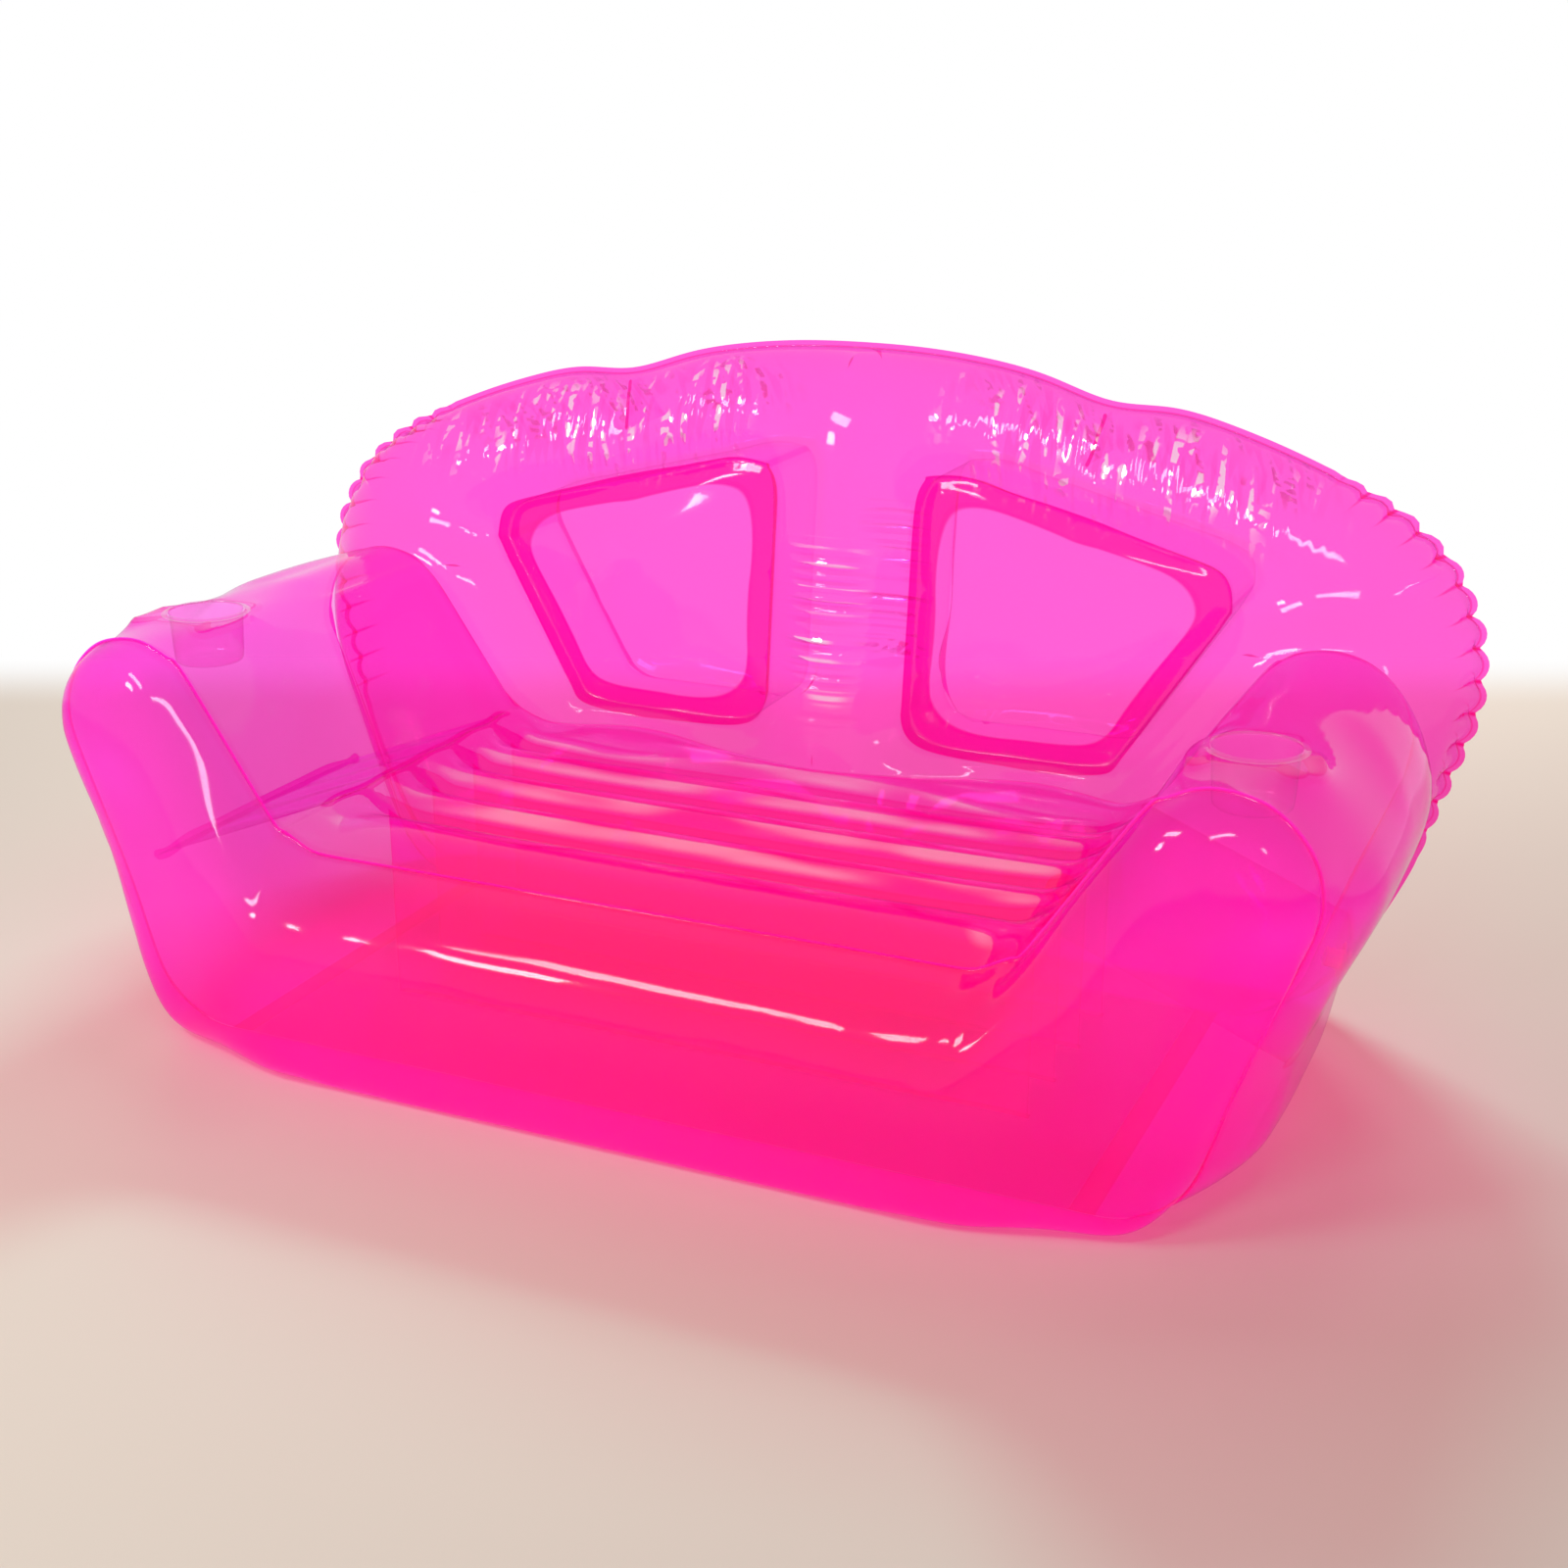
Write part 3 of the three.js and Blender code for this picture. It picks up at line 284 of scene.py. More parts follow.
# The outward side of a packed film, in quads, without its edge strips and its other side
def one_side(node_name, piece_name, outward, web_names):
    piece = bpy.data.objects.new(piece_name, frame["nodes"][node_name].data.copy())
    scene.collection.objects.link(piece)
    pick(piece)
    bpy.ops.object.mode_set(mode="EDIT")
    bpy.ops.mesh.select_all(action="SELECT")
    bpy.ops.mesh.remove_doubles(threshold=MERGE_REACH)
    bpy.ops.mesh.select_all(action="DESELECT")
    bpy.ops.mesh.select_mode(type="FACE")
    bpy.ops.object.mode_set(mode="OBJECT")
    mesh = piece.data
    places = places_of(mesh)
    for face in mesh.polygons:
        face.select = bool(2 * face.area / longest_side(places, face) < FILM_EDGE)
    bpy.ops.object.mode_set(mode="EDIT")
    bpy.ops.mesh.delete(type="FACE")
    bpy.ops.mesh.select_mode(type="VERT")
    bpy.ops.mesh.select_all(action="DESELECT")
    bpy.ops.object.mode_set(mode="OBJECT")
    mesh.vertices[int(np.argmax(places_of(mesh) @ np.array(outward)))].select = True
    bpy.ops.object.mode_set(mode="EDIT")
    bpy.ops.mesh.select_linked()
    bpy.ops.mesh.select_all(action="INVERT")
    bpy.ops.mesh.delete(type="VERT")
    bpy.ops.mesh.select_all(action="SELECT")
    bpy.ops.mesh.fill_holes(sides=8)
    bpy.ops.mesh.select_all(action="SELECT")
    bpy.ops.mesh.quads_convert_to_tris()
    bpy.ops.object.mode_set(mode="OBJECT")
    owner = welded_to(places_of(mesh), web_names)
    for edge in mesh.edges:
        a, b = edge.vertices
        edge.use_seam = bool(owner[a] >= 0 and owner[a] == owner[b])
    bpy.ops.object.mode_set(mode="EDIT")
    bpy.ops.mesh.tris_convert_to_quads(
        face_threshold=QUAD_ANGLE, shape_threshold=QUAD_ANGLE, seam=True)
    bpy.ops.object.mode_set(mode="OBJECT")
    mesh.materials.clear()
    return piece


# Creases the sheet along its welds and along the inner line of its hem
def mark_lines(mesh, web_names):
    places = places_of(mesh)
    owner = welded_to(places, web_names)
    faces_of = {}
    for face in mesh.polygons:
        for key in face.edge_keys:
            faces_of.setdefault(key, []).append(face.index)
    hem = []
    for face in mesh.polygons:
        widest = HEM_WIDTH if len(face.vertices) == 4 else HEM_WIDTH / 2
        slim = face.area / longest_side(places, face) < widest
        hem.append(slim and any(len(faces_of[key]) == 1 for key in face.edge_keys))
    crease = np.zeros(len(mesh.edges))
    weld, seam, width = np.zeros((3, len(places)))
    for edge in mesh.edges:
        a, b = edge.vertices
        sides = faces_of.get(tuple(sorted(edge.vertices)), [])
        if owner[a] >= 0 and owner[a] == owner[b]:
            crease[edge.index] = 1
            weld[[a, b]] = 1
            width[[a, b]] = WELD_BAND[web_names[owner[a]].split("_")[0]]
        elif len(sides) == 2 and hem[sides[0]] != hem[sides[1]] or len(sides) == 1 and not hem[sides[0]]:
            crease[edge.index] = 1
            seam[[a, b]] = 1
    keep_values(mesh, "crease_edge", crease, "EDGE")
    keep_values(mesh, "weld_mark", weld)
    keep_values(mesh, "weld_band", width)
    keep_values(mesh, "seam_mark", seam)


# Evens out the sheet between its lines, over all of it or by a share for each place
def even_out(mesh, passes, share_of=None, steps=SMOOTH_STEPS):
    places = places_of(mesh)
    pairs = edges_of(mesh)
    count = len(places)
    links = np.maximum(np.bincount(pairs.ravel(), minlength=count), 1)
    ring = np.zeros(count, int)
    for face in mesh.polygons:
        for key in face.edge_keys:
            ring[list(key)] += 1
    free = (values_of(mesh, "weld_mark") <= MARKED) & (values_of(mesh, "seam_mark") <= MARKED)
    free &= ring >= 2 * links           # the border stays where it is
    if share_of is not None:
        free &= share_of > 0.001
        pairs = pairs[free[pairs].any(1)]
    weight = np.where(free, 1.0 if share_of is None else share_of, 0.0)[:, None]
    ends, others = np.concatenate([pairs, pairs[:, ::-1]]).T
    for step in range(2 * passes):
        mean = np.stack([np.bincount(ends, places[others, k], count) for k in range(3)], 1) / links[:, None]
        places = places + steps[step % 2] * weight * (mean - places)
    places[:, 2] = np.maximum(places[:, 2], FLOOR_FILM)
    put(mesh, places)


# The rounded sheet of a film. Its cage is pushed out until the sheet passes through the solid's corners
def film_sheet(node_name, piece_name, outward, web_names, levels, passes):
    piece = one_side(node_name, piece_name, outward, web_names)
    mesh = piece.data
    mark_lines(mesh, web_names)
    rounding = piece.modifiers.new("rounding", "SUBSURF")
    rounding.levels = rounding.render_levels = levels
    places = places_of(mesh)
    cage = places.copy()
    for step in range(CAGE_STEPS):
        graph = bpy.context.evaluated_depsgraph_get()
        cage += CAGE_SHARE * (places - places_of(piece.evaluated_get(graph).data)[:len(places)])
        put(mesh, cage)
    pick(piece)
    bpy.ops.object.modifier_apply(modifier=rounding.name)
    bpy.ops.object.shade_smooth()
    even_out(mesh, passes)
    return piece


# Distance of each place from the nearest marked line, and that line's half width
def measure(mesh, mark):
    places = places_of(mesh)
    width = values_of(mesh, "weld_band")
    pairs = edges_of(mesh)
    starts, stops = pairs[(values_of(mesh, mark)[pairs] > MARKED).all(1)].T
    distance, wide = np.full(len(places), FAR), np.full(len(places), 0.001)
    if len(starts):
        tree = KDTree(len(starts))
        for k, middle in enumerate((places[starts] + places[stops]) / 2):
            tree.insert(middle, k)
        tree.balance()
        nearest = [[k for middle, k, gap in tree.find_n(place, 3)] for place in places.tolist()]
        for k in np.array(nearest).T:
            start, step = places[starts[k]], places[stops[k]] - places[starts[k]]
            along = ((places - start) * step).sum(1) / np.maximum((step ** 2).sum(1), 1e-12)
            reach = np.linalg.norm(start + np.clip(along, 0, 1)[:, None] * step - places, axis=1)
            closer = reach < distance
            distance[closer] = reach[closer]
            wide[closer] = width[starts[k]][closer]
    return distance, wide


# Keeps how far each place is from its welds and seams, for the materials. The part of a window pane
# that its weld's band covers goes by the level of each place on the pane's crown, -1 outside the pane
def keep_distances(mesh, pane_level=None):
    distance, wide = measure(mesh, "weld_mark")
    band = distance / np.maximum(wide, LEAST_BAND)
    if pane_level is not None:
        band = np.where(pane_level >= 0, pane_level / PANE_BAND, band)
    keep_values(mesh, "weld", distance)
    keep_values(mesh, "band", band)
    keep_values(mesh, "seam", measure(mesh, "seam_mark")[0])


def dress(piece, node_name, material):
    piece.data.materials.append(material)
    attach(piece, "sofa")
    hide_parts(node_name)


def attribute(tree, name):
    made = tree.nodes.new("ShaderNodeAttribute")
    made.attribute_name = name
    return made.outputs["Fac"]


def mixed_colour(tree, share, first, second):
    mix = tree.nodes.new("ShaderNodeMix")
    mix.data_type = "RGBA"
    near, far = [s for s in mix.inputs if s.type == "RGBA"]
    near.default_value = (*first, 1)
    far.default_value = (*second, 1)
    tree.links.new(share, mix.inputs[0])
    return [s for s in mix.outputs if s.type == "RGBA"][0]


def clear_to(tree, colour):
    clear = tree.nodes.new("ShaderNodeBsdfTransparent")
    tree.links.new(colour, clear.inputs["Color"])
    return clear.outputs[0]


# Mirrors more the flatter it is seen
def mirror_share(tree, power, gain, head_on):
    facing = tree.nodes.new("ShaderNodeLayerWeight")
    facing.inputs["Blend"].default_value = 0.5
    steep = maths(tree, "POWER", facing.outputs["Facing"], power)
    return maths(tree, "MULTIPLY_ADD", steep, gain, head_on)


def glossy(tree, roughness, height, bump_strength, bump_depth):
    bump = tree.nodes.new("ShaderNodeBump")
    bump.inputs["Strength"].default_value = bump_strength
    bump.inputs["Distance"].default_value = bump_depth
    tree.links.new(height, bump.inputs["Height"])
    gloss = tree.nodes.new("ShaderNodeBsdfGlossy")
    if isinstance(roughness, float):
        gloss.inputs["Roughness"].default_value = roughness
    else:
        tree.links.new(roughness, gloss.inputs["Roughness"])
    tree.links.new(bump.outputs["Normal"], gloss.inputs["Normal"])
    return gloss.outputs[0]


def finished(tree, shader, shadow_tint):
    shadow = add(tree, "BsdfTransparent", color=(*shadow_tint, 1))
    in_shadow = tree.nodes.new("ShaderNodeLightPath").outputs["Is Shadow Ray"]
    add(tree, "OutputMaterial", [add(tree, "MixShader", [in_shadow, shader, shadow])])


FILM_GLOSS = 0.07
FILM_WAVE = 0.0022          # depth of the film's slight waves
SEEN_FLAT, HEAD_ON = 0.85, 0.026        # shares of what it mirrors
SHADOW_RED, SHADOW_BLUE = 0.91, 0.08    # a film's shadow: its red, and its blue beyond its green
DOUBLED = (3.0, 5.2, 3.4)   # powers of the tint where film lies on film
HEM_EDGE = (0.0095, 0.0085)
SEAM_LINE = (0.0020, 0.0008)
BAND_SIDE = (1.06, 0.98)    # in half widths of the weld band
BAND_LINE = (0.16, 0.05)
GLOW = (1.0, 0.06, 0.82)


# The film lets light through in one tint, so layers multiply. Along its welds it is doubled. A film's
# own detail adds to the height of its surface and to how dark it is, and its painted sheen and glints
# add to how much it mirrors.
def film_material(name, tint, glow, glow_share, banded=0.0, shade=0.49, hem=0.20, line=1.0, power=6.0,
                  detail=None):
    material, tree = new_material(name)
    spot = tree.nodes.new("ShaderNodeTexCoord").outputs["Object"]
    seam = attribute(tree, "seam")
    dark = maths(tree, "MULTIPLY", ramp(tree, seam, *HEM_EDGE), hem)
    dark = maths(tree, "MAXIMUM", dark, maths(tree, "MULTIPLY", ramp(tree, seam, *SEAM_LINE), line))
    wave = add(tree, "TexNoise", [spot], scale=9.0, detail=1.0)
    grain = add(tree, "TexNoise", [spot], scale=55.0, detail=1.0)
    height = maths(tree, "MULTIPLY_ADD", wave, 0.55, maths(tree, "MULTIPLY", grain, 0.018))
    mirror = mirror_share(tree, power, SEEN_FLAT, HEAD_ON)
    if detail:
        height, dark, mirror = detail(tree, spot, height, dark, mirror)
    if banded:
        band = attribute(tree, "band")
        inside = maths(tree, "MULTIPLY", ramp(tree, band, *BAND_SIDE), banded)
        edge = ramp(tree, maths(tree, "ABSOLUTE", maths(tree, "SUBTRACT", band, 1.0)), *BAND_LINE)
        dark = maths(tree, "MAXIMUM", dark, maths(tree, "MAXIMUM", inside, edge))
    doubled = [part ** deep for part, deep in zip(tint, DOUBLED)]
    clear = clear_to(tree, mixed_colour(tree, dark, tint, doubled))
    body = add(tree, "MixShader", [glow_share, clear, add(tree, "BsdfTranslucent", color=(*glow, 1))])
    gloss = glossy(tree, FILM_GLOSS, height, 1.0, FILM_WAVE)
    film = add(tree, "MixShader", [mirror, body, gloss])
    finished(tree, film, (SHADOW_RED, shade, shade + SHADOW_BLUE))
    return material


front_film = film_sheet(
    "body_front_panel", "front_film", (0, -1, 0), [], levels=3, passes=FILM_PASSES)
even_out(front_film.data, FRONT_PASSES)
keep_distances(front_film.data)
front_clear = film_material("front film", tint=(0.998, 0.22, 0.86), glow=GLOW, glow_share=0.24)
dress(front_film, "body_front_panel", front_clear)

# Seat and arm film: one long panel from the floor up over an arm, across the seat and over the other
# arm, welded to the front and rear films along both sides. Tension sheets draw grooves across the
# seat, and a painted sheen raises how much the film mirrors on the ribs between them.
SEAT_WEBS = [f"seat_web_{k}" for k in (1, 2, 3, 4)]
ARM_WEBS = ["arm_web_left", "arm_web_right"]
CUP_HOLDERS = ["cup_holder_left", "cup_holder_right"]
# Where the ribs' painted sheen lies, how it is broken into streaks, and how strong it is
RIB_SIDE = (0.41, 0.35)     # the ribs end this far from the middle
RIB_FOOT = (0.019, 0.030)   # and start this far from a weld
RIB_FAR = (0.075, 0.055)
RIB_SHEEN_STREAKS = (5.0, 26.0, 0.0)
PAINTED_RIB_SHEEN = 0.24
ARM_SIDE, ARM_HEIGHT = (0.44, 0.50), (0.25, 0.31)       # the arms lie beyond these
CUP_EDGE = (0.047, 0.056)   # film next to a cup's ring stays as it is
CUP_START, CUP_END = (0.047, 0.054), (0.11, 0.17)       # film round a cup, relaxed once more
ARM_TOP, ARM_SHOULDER = 0.40, 0.34                      # both only above these heights
ARM_PASSES, CUP_PASSES, LAST_PASSES = 500, 110, 60
RELAXED = (0.5, 0.5)


def eased(value, low, high):
    share = np.clip((value - low) / (high - low), 0, 1)
    return share * share * (3 - 2 * share)


# Painted sheen: raises how much the film mirrors on each rib between the seat's grooves, in streaks, so the
# ribs show lighter
def painted_rib_sheen(tree, spot, height, dark, mirror):
    weld = attribute(tree, "weld")
    rib = maths(tree, "MULTIPLY", ramp(tree, weld, *RIB_FOOT), ramp(tree, weld, *RIB_FAR))
    drawn_out = add(tree, "VectorMath", [spot, RIB_SHEEN_STREAKS], operation="MULTIPLY")
    streaks = add(tree, "TexNoise", [drawn_out], scale=1.0, detail=1.0)
    rib = maths(tree, "MULTIPLY", rib, ramp(tree, streaks, 0.36, 0.60))
    side = maths(tree, "ABSOLUTE", add(tree, "SeparateXYZ", [spot]))
    rib = maths(tree, "MULTIPLY", rib, ramp(tree, side, *RIB_SIDE))
    return height, dark, maths(tree, "MULTIPLY_ADD", rib, PAINTED_RIB_SHEEN, mirror)


seat_arm_film = film_sheet(
    "seat_arm_panel", "seat_arm_film", (0, 0, 1), SEAT_WEBS + ARM_WEBS, levels=3, passes=FILM_PASSES)
mesh = seat_arm_film.data
places = places_of(mesh)
on_arm = eased(np.abs(places[:, 0]), *ARM_SIDE) * eased(places[:, 2], *ARM_HEIGHT)
near_cup = np.zeros(len(places))
for name in CUP_HOLDERS:
    middle = (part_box(name)[0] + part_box(name)[1]) / 2
    gap = np.hypot(places[:, 0] - middle.x, places[:, 1] - middle.y)
    on_arm *= np.where(places[:, 2] > ARM_TOP, eased(gap, *CUP_EDGE), 1)
    round_cup = eased(gap, *CUP_START) * (1 - eased(gap, *CUP_END)) * (places[:, 2] > ARM_SHOULDER)
    near_cup = np.maximum(near_cup, round_cup)
even_out(mesh, ARM_PASSES, on_arm)
even_out(mesh, CUP_PASSES, near_cup, RELAXED)
even_out(mesh, LAST_PASSES, on_arm)
keep_distances(mesh)
seat_clear = film_material(
    "seat film", tint=(0.998, 0.42, 0.88), glow=GLOW, glow_share=0.20, banded=0.85, power=5.6,
    detail=painted_rib_sheen)
dress(seat_arm_film, "seat_arm_panel", seat_clear)

# Base film: the flat bottom of the seat and arm chamber, which lies on the floor. Like the rest it is
# cut from clear pink film, and the other films of its chamber are welded to it all round.
REAR_TINT = (0.998, 0.34, 0.80)
base_film = film_sheet("base_panel", "base_film", (0, 0, 1), [], levels=4, passes=0)
keep_distances(base_film.data)
base_clear = film_material(
    "base film", tint=REAR_TINT, glow=GLOW, glow_share=0.08, hem=0.03, line=0.35)
dress(base_film, "base_panel", base_clear)

# Back films: two panels welded together round the rim, whose hem the air draws into scallops, and to
# the bands round the two windows. Over the windows and down the middle the film puckers, because it
# was cut flat.
WINDOW_WEBS = ["window_web_left", "window_web_right"]
CREST_TIES = ["crest_tie_left", "crest_tie_right"]
BACK_PASSES = 100
PANE_PASSES = 900
PANE_CROWN = 0.016
PANE_EDGE = 0.0004
HALF_PANE = 0.25            # a pane reaches no further than this to either side
BLUR = 0.016
BLUR_PITCH = 0.006
WELD_KEPT, SEAM_KEPT = (0.006, 0.034), (0.030, 0.085)   # film this near a line stays sharp
CREST_RISE = (0.50, 0.56)   # height where the puckers over the windows start
CREST_INNER, CREST_OUTER = (0.10, 0.16), (0.50, 0.60)   # and where they start and end sideways
CREST_TOP, CREST_FOOT = (0.012, 0.05), (0.09, 0.15)     # and how far below the rim's seam
COLUMN_SIDE = (0.02, 0.06)
COLUMN_FOOT, COLUMN_TOP = (0.26, 0.30), (0.44, 0.52)
CREST_PLEAT, COLUMN_PLEAT = 0.011, 0.010                # width of one pucker
RIM_SIDE, RIM_FOOT, RIM_TOP = (0.54, 0.62), (0.18, 0.25), (0.60, 0.66)      # where it is scalloped
RIM_MIDDLE = (0.33, 0.36)   # side and height that the scallops turn round
SCALLOP = 0.0875            # angle of one scallop there
SCALLOP_PULL = 0.0125
SCALLOP_REACH, FOLD_REACH = 0.042, (0.022, 0.050)       # from the rim's seam inwards
NOTCH_WIDTH, NOTCH_TAPER = 0.11, 1.8    # in scallops, and how fast it narrows inwards
FOLD_HEIGHT = 2.2
FOLD_BREAKS, DASH_BREAKS = 16.0, 110.0  # how often a pucker, and the glints on it, break off
VALLEY_DARK, NOTCH_DARK, PAINTED_GLINT = 0.22, 0.9, 0.55


# Inside its weld loop a window pane is drawn nearly flat, with a slight crown
def flatten_panes(mesh, centres, outward):
    places = places_of(mesh)
    pairs = edges_of(mesh)
    count = len(places)
    held = values_of(mesh, "weld_mark") > MARKED
    wide = values_of(mesh, "weld_band") > 0.01
    level_of = np.full(count, -1.0)
    for centre in centres:
        across, up = places[:, 0] - centre.x, places[:, 2] - centre.z
        bearing, radius = np.arctan2(up, across), np.hypot(across, up)
        loop = np.flatnonzero(held & (np.abs(across) < HALF_PANE) & wide)
        loop = loop[np.argsort(bearing[loop])]
        reach = np.interp(bearing, bearing[loop], radius[loop], period=2 * math.pi)
        near = (radius < reach - PANE_EDGE) & ~held
        part = pairs[near[pairs].any(1)]
        ends, others = np.concatenate([part, part[:, ::-1]]).T
        inner = near[ends]
        ends, others = ends[inner], others[inner]
        links = np.maximum(np.bincount(ends, minlength=count), 1)[:, None]
        rise = np.zeros(count)
        for step in range(PANE_PASSES):
            mean = np.stack([np.bincount(ends, places[others, k], count) for k in range(3)], 1) / links
            places[near] = mean[near]
            level = np.bincount(ends, rise[others], count) / links[:, 0]
            rise[near] = level[near] + 1
        level_of[near] = rise[near] / rise.max()
        places[near] += PANE_CROWN * level_of[near, None] * np.array(outward)
    put(mesh, places)
    return level_of


# Blurs the depth of a film of the back over a fine grid, away from its welds, which stay sharp
def soften(mesh):
    places = places_of(mesh)
    faces = [tuple(face.vertices) for face in mesh.polygons]
    tree = BVHTree.FromPolygons([tuple(place) for place in places], faces)
    low = places.min(0) - 2 * BLUR_PITCH
    counts = np.ceil((places.max(0) + 2 * BLUR_PITCH - low) / BLUR_PITCH).astype(int)[[0, 2]]
    depth = np.full(counts, np.nan)
    for i in range(counts[0]):
        for j in range(counts[1]):
            start = (low[0] + i * BLUR_PITCH, -2, low[2] + j * BLUR_PITCH)
            hit = tree.ray_cast(start, (0, 1, 0))[0]
            if hit is not None:
                depth[i, j] = hit.y
    known = ~np.isnan(depth)
    kernels = []
    for count in counts:
        gap = (np.arange(count)[:, None] - np.arange(count)[None]) * BLUR_PITCH / BLUR
        kernels.append(np.exp(-gap ** 2 / 2))
    weight = kernels[0] @ known @ kernels[1]
    smooth = (kernels[0] @ np.where(known, depth, 0.0) @ kernels[1]) / np.maximum(weight, 1e-9)
    u, v = (places[:, 0] - low[0]) / BLUR_PITCH, (places[:, 2] - low[2]) / BLUR_PITCH
    i, j = u.astype(int), v.astype(int)
    s, r = u - i, v - j
    level = (smooth[i, j] * (1 - s) * (1 - r) + smooth[i + 1, j] * s * (1 - r)
             + smooth[i, j + 1] * (1 - s) * r + smooth[i + 1, j + 1] * s * r)
    share = eased(values_of(mesh, "weld"), *WELD_KEPT) * eased(values_of(mesh, "seam"), *SEAM_KEPT)
    share *= places[:, 2] > 0.05        # not next to the floor
    places[:, 1] += share * (level - places[:, 1])
    put(mesh, places)


# Draws the rim in at each scallop, and keeps where the film puckers for its material: upright
# wrinkles over the windows and short level ones down the middle column
def pleat(mesh):
    places = places_of(mesh)
    x, z = places[:, 0].copy(), places[:, 2].copy()
    side = np.abs(x)
    seam = values_of(mesh, "seam")
    crest = eased(z, *CREST_RISE) * eased(side, *CREST_INNER) * (1 - eased(side, *CREST_OUTER))
    crest *= eased(seam, *CREST_TOP) * (1 - eased(seam, *CREST_FOOT))
    column = (1 - eased(side, *COLUMN_SIDE)) * eased(z, *COLUMN_FOOT) * (1 - eased(z, *COLUMN_TOP))
    rim = eased(side, *RIM_SIDE) * eased(z, *RIM_FOOT) * (1 - eased(z, *RIM_TOP)) * (seam < FAR)
    angle = np.arctan2(z - RIM_MIDDLE[1], side - RIM_MIDDLE[0])
    between = 1 - np.abs(np.sin(math.pi * angle / SCALLOP)) ** 0.6
    pull = SCALLOP_PULL * rim * between * (1 - eased(seam, 0.0, SCALLOP_REACH))
    places[:, 0] -= np.sign(x) * pull * np.cos(angle)
    places[:, 2] -= pull * np.sin(angle)
    put(mesh, places)
    across = np.where(side > 0.08, places[:, 0] / CREST_PLEAT, places[:, 2] / COLUMN_PLEAT)
    keep_values(mesh, "pleat", across)
    keep_values(mesh, "pleat_depth", np.maximum(crest, column))
    keep_values(mesh, "scallop", angle / SCALLOP)
    keep_values(mesh, "scallop_depth", rim * (1 - eased(seam, *FOLD_REACH)))


# Pucker fold heights bump the gloss, and fold valleys and scallop notches deepen the tint. Painted glints
# raise how much the film mirrors along thin broken lines on the folds.
def back_folds(tree, spot, height, dark, mirror):
    seam = attribute(tree, "seam")
    depth = attribute(tree, "pleat_depth")
    pucker = attribute(tree, "pleat")
    long_fold = add(tree, "CombineXYZ", [pucker, maths(tree, "MULTIPLY", seam, FOLD_BREAKS)])
    fold = add(tree, "TexNoise", [long_fold], scale=1.0, detail=0.0)
    patch = ramp(tree, add(tree, "TexNoise", [spot], scale=16.0, detail=0.0), 0.30, 0.46)
    where = maths(tree, "MULTIPLY", patch, depth)
    broken = add(tree, "CombineXYZ", [pucker, maths(tree, "MULTIPLY", seam, DASH_BREAKS)])
    dash = ramp(tree, add(tree, "TexNoise", [broken], scale=1.0, detail=0.0), 0.42, 0.54)
    glint = maths(tree, "MULTIPLY", maths(tree, "MULTIPLY", ramp(tree, fold, 0.56, 0.64), dash), where)
    valley = maths(tree, "MULTIPLY", ramp(tree, fold, 0.46, 0.38), where)
    scallop = attribute(tree, "scallop")
    gap = maths(tree, "ABSOLUTE", maths(tree, "SUBTRACT", scallop, maths(tree, "ROUND", scallop)))
    near = maths(tree, "SUBTRACT", NOTCH_WIDTH, maths(tree, "MULTIPLY", seam, NOTCH_TAPER))
    notch = maths(tree, "MULTIPLY", ramp(tree, gap, near, 0.0), attribute(tree, "scallop_depth"))
    height = maths(tree, "MULTIPLY_ADD", maths(tree, "MULTIPLY", fold, depth), FOLD_HEIGHT, height)
    dark = maths(tree, "MAXIMUM", dark, maths(tree, "MULTIPLY", valley, VALLEY_DARK))
    dark = maths(tree, "MAXIMUM", dark, maths(tree, "MULTIPLY", notch, NOTCH_DARK))
    return height, dark, maths(tree, "MULTIPLY_ADD", glint, PAINTED_GLINT, mirror)


back_clear = film_material(
    "back film", tint=(0.998, 0.34, 0.79), glow=GLOW, glow_share=0.08, banded=0.95, hem=0.03,
    line=0.55, detail=back_folds)
rear_clear = film_material(
    "rear film", tint=REAR_TINT, glow=GLOW, glow_share=0.08, hem=0.03, line=0.35, detail=back_folds)
window_middles = [(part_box(name)[0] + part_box(name)[1]) / 2 for name in WINDOW_WEBS]
for node_name, piece_name, outward, material in (
    ("back_front_panel", "back_front_film", (0, -1, 0), back_clear),
    ("back_rear_panel", "back_rear_film", (0, 1, 0), rear_clear),
):
    back_film = film_sheet(
        node_name, piece_name, outward, WINDOW_WEBS + CREST_TIES, levels=3, passes=BACK_PASSES)
    mesh = back_film.data
    keep_distances(mesh, flatten_panes(mesh, window_middles, outward))
    soften(mesh)
    pleat(mesh)
    dress(back_film, node_name, material)

# Tension sheets of the seat and arms: flat webs of deep pink film inside the chamber. Four stand
# across the seat, welded to it and to the base, and one slopes through each arm.
web_film = film_material(
    "web film", tint=(0.998, 0.06, 0.91), glow=(1.0, 0.0, 0.62), glow_share=0.14)
for name in SEAT_WEBS + ARM_WEBS:
    outward = (0, -1, 0) if name in SEAT_WEBS else (0, 0, 1)
    web = film_sheet(name, name + "_sheet", outward, [], levels=2, passes=0)
    keep_distances(web.data)
    dress(web, name, web_film)

# Window bands: a closed strip of clear film between the two films of the back, round each window
# pane, welded to both.
pale_film = film_material(
    "pale film", tint=(0.999, 0.86, 0.96), glow=GLOW, glow_share=0.02, shade=0.95)
for name in WINDOW_WEBS:
    window_band = film_sheet(name, name + "_sheet", (0, 0, 1), [], levels=3, passes=0)
    keep_distances(window_band.data)
    dress(window_band, name, pale_film)

# Crest ties: two short strips of clear film across the top of the back, which draw its crest down
# into the two pinches.
tie_film = film_material(
    "tie film", tint=(0.999, 0.95, 0.99), glow=GLOW, glow_share=0.01, shade=0.97)
for name in CREST_TIES:
    tie = film_sheet(name, name + "_sheet", (1, 0, 0), [], levels=2, passes=0)
    keep_distances(tie.data)
    dress(tie, name, tie_film)

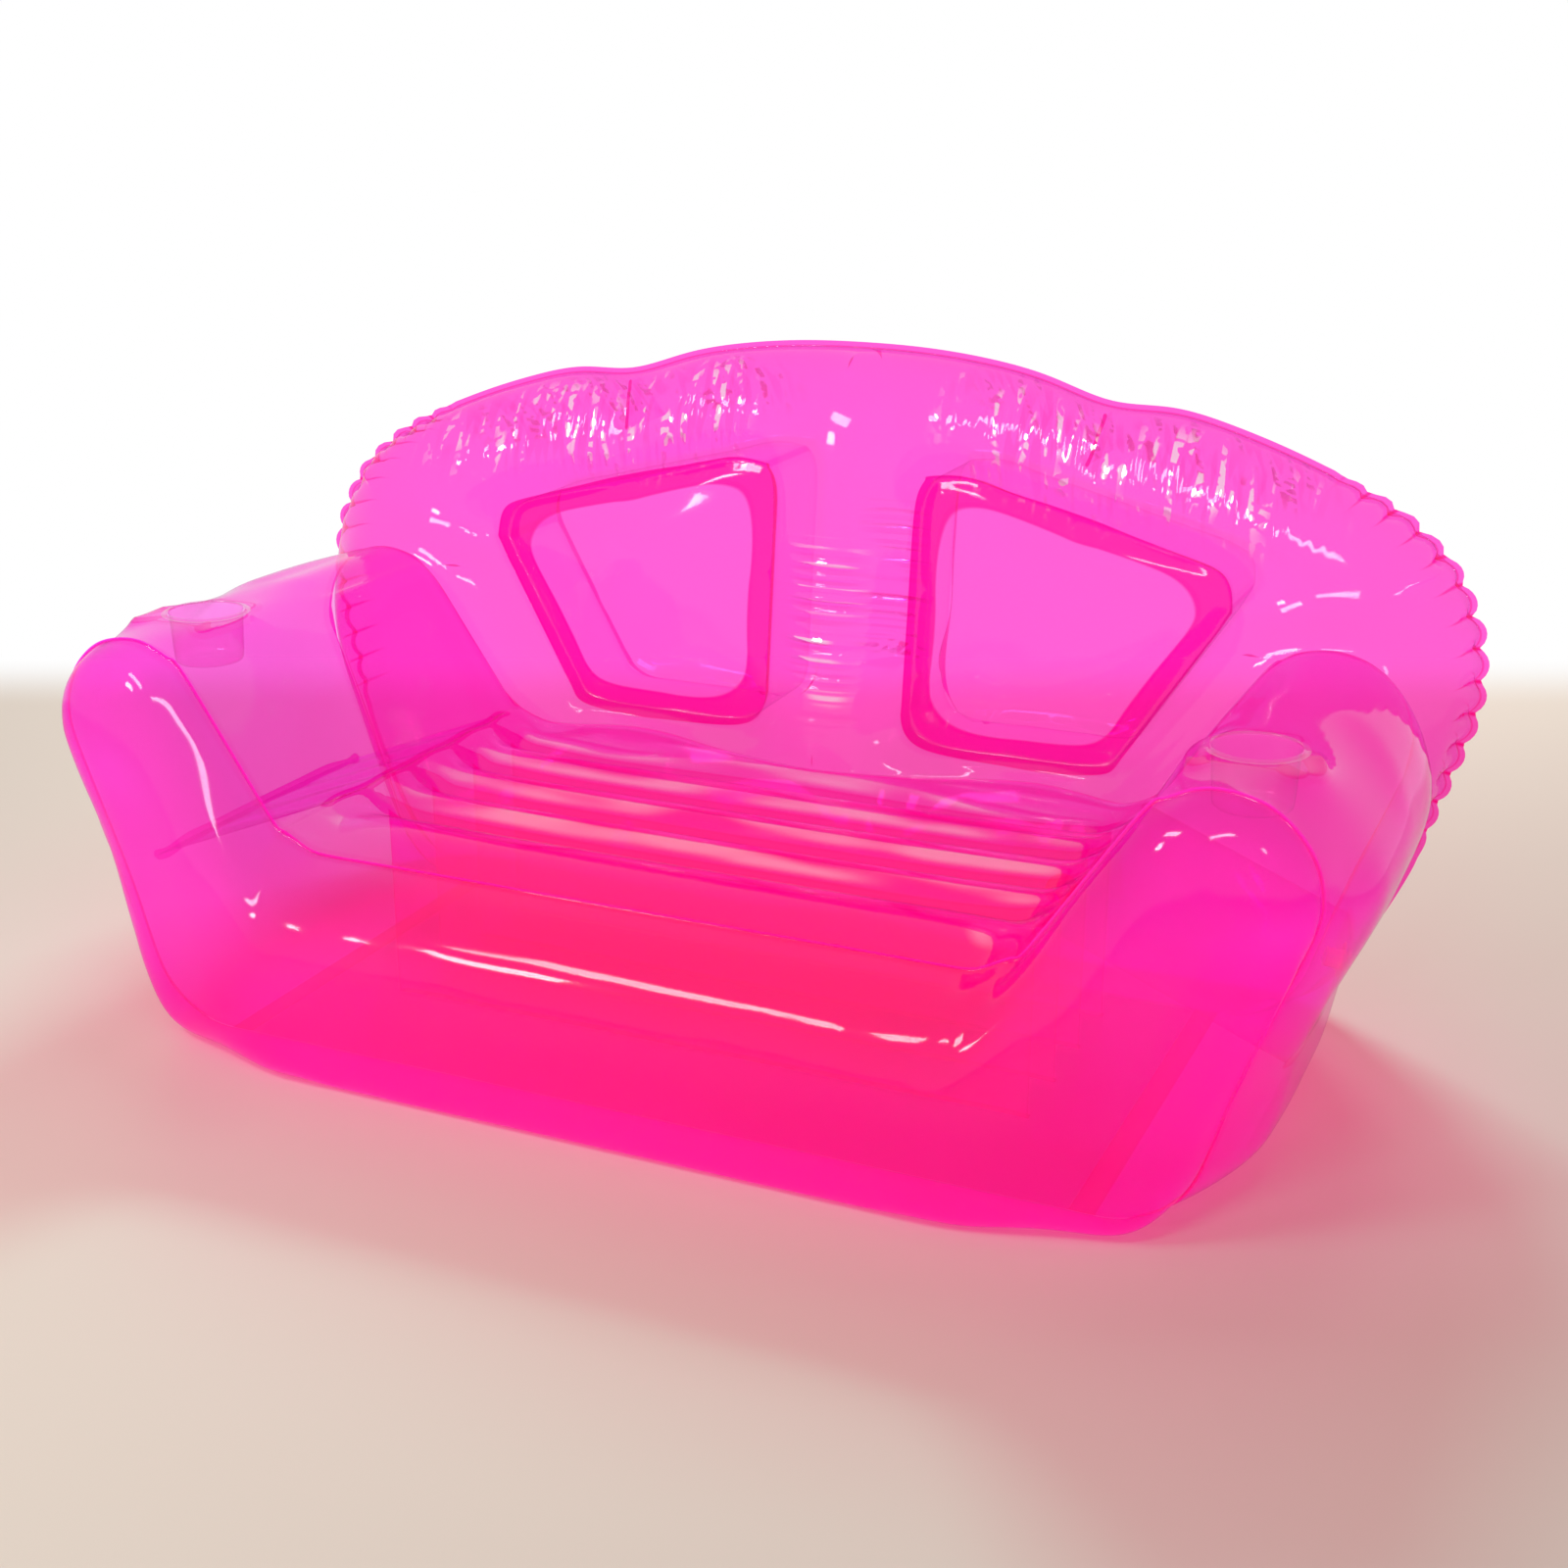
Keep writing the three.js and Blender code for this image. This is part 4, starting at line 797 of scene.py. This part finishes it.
# Cup holders: shallow cups of clear moulded vinyl let into the arm tops, each with a flat ring welded
# to the arm's film and a rounded lip.
CUP_PROFILE = [             # radius and height, from the ring inwards
    (0.0490, 0.0000), (0.0446, 0.0004), (0.0440, 0.0018), (0.0428, 0.0026), (0.0414, 0.0022),
    (0.0408, 0.0006), (0.0400, -0.0100), (0.0384, -0.0500), (0.0374, -0.0545), (0.0345, -0.0562),
    (0.0200, -0.0564), (0.0040, -0.0564),
]
CUP_LIP = 0.0022
VINYL_MILK = (0.95, 0.42, 0.70, 1)
VINYL_SHADOW = (0.98, 0.88, 0.92)
VINYL_GRAIN = 0.0004


def moulded_vinyl(name, pale_tint, deep_tint, milk):
    material, tree = new_material(name)
    spot = tree.nodes.new("ShaderNodeTexCoord").outputs["Object"]
    cloud = add(tree, "TexNoise", [spot], scale=60.0, detail=3.0)
    clear = clear_to(tree, mixed_colour(tree, cloud, pale_tint, deep_tint))
    cloudy = add(tree, "BsdfDiffuse", color=VINYL_MILK, roughness=0.5)
    body = add(tree, "MixShader", [milk, clear, cloudy])
    mirror = mirror_share(tree, 4.0, 0.8, 0.05)
    roughness = add(tree, "MapRange", [cloud, 0.35, 0.7, 0.07, 0.20], interpolation_type="SMOOTHSTEP")
    height = add(tree, "TexNoise", [spot], scale=160.0, detail=2.0)
    gloss = glossy(tree, roughness, height, 0.6, VINYL_GRAIN)
    finished(tree, add(tree, "MixShader", [mirror, body, gloss]), VINYL_SHADOW)
    return material


cup_vinyl = moulded_vinyl("cup vinyl", (0.999, 0.90, 0.98), (0.995, 0.74, 0.93), 0.04)
for name in CUP_HOLDERS:
    low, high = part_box(name)
    middle = (low + high) / 2
    bpy.ops.mesh.primitive_circle_add(
        vertices=96, radius=CUP_PROFILE[0][0], location=(middle.x, middle.y, high.z - CUP_LIP))
    cup = bpy.context.object
    cup.name = name.replace("holder", "pocket")
    pick(cup)
    bpy.ops.object.transform_apply()
    bpy.ops.object.mode_set(mode="EDIT")
    bpy.ops.mesh.select_all(action="SELECT")
    for (before, level), (radius, height) in zip(CUP_PROFILE, CUP_PROFILE[1:]):
        bpy.ops.mesh.extrude_region_move(TRANSFORM_OT_translate={"value": (0, 0, height - level)})
        bpy.ops.transform.resize(value=(radius / before, radius / before, 1))
    bpy.ops.mesh.merge(type="CENTER")
    bpy.ops.mesh.select_all(action="SELECT")
    bpy.ops.mesh.normals_make_consistent(inside=False)
    bpy.ops.object.mode_set(mode="OBJECT")
    rounding = cup.modifiers.new("rounding", "SUBSURF")
    rounding.levels = rounding.render_levels = 1
    bpy.ops.object.modifier_apply(modifier=rounding.name)
    bpy.ops.object.shade_smooth()
    dress(cup, name, cup_vinyl)

# Valves: a stem welded into the film, a flap inside it and a stopper cap on a strap, all moulded in
# thicker, cloudier vinyl than the film.
valve_vinyl = moulded_vinyl("valve vinyl", (0.99, 0.62, 0.84), (0.98, 0.42, 0.72), 0.55)
for name, part in frame["nodes"].items():
    if "valve" in name:
        part.data.materials.clear()
        part.data.materials.append(valve_vinyl)

low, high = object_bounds()
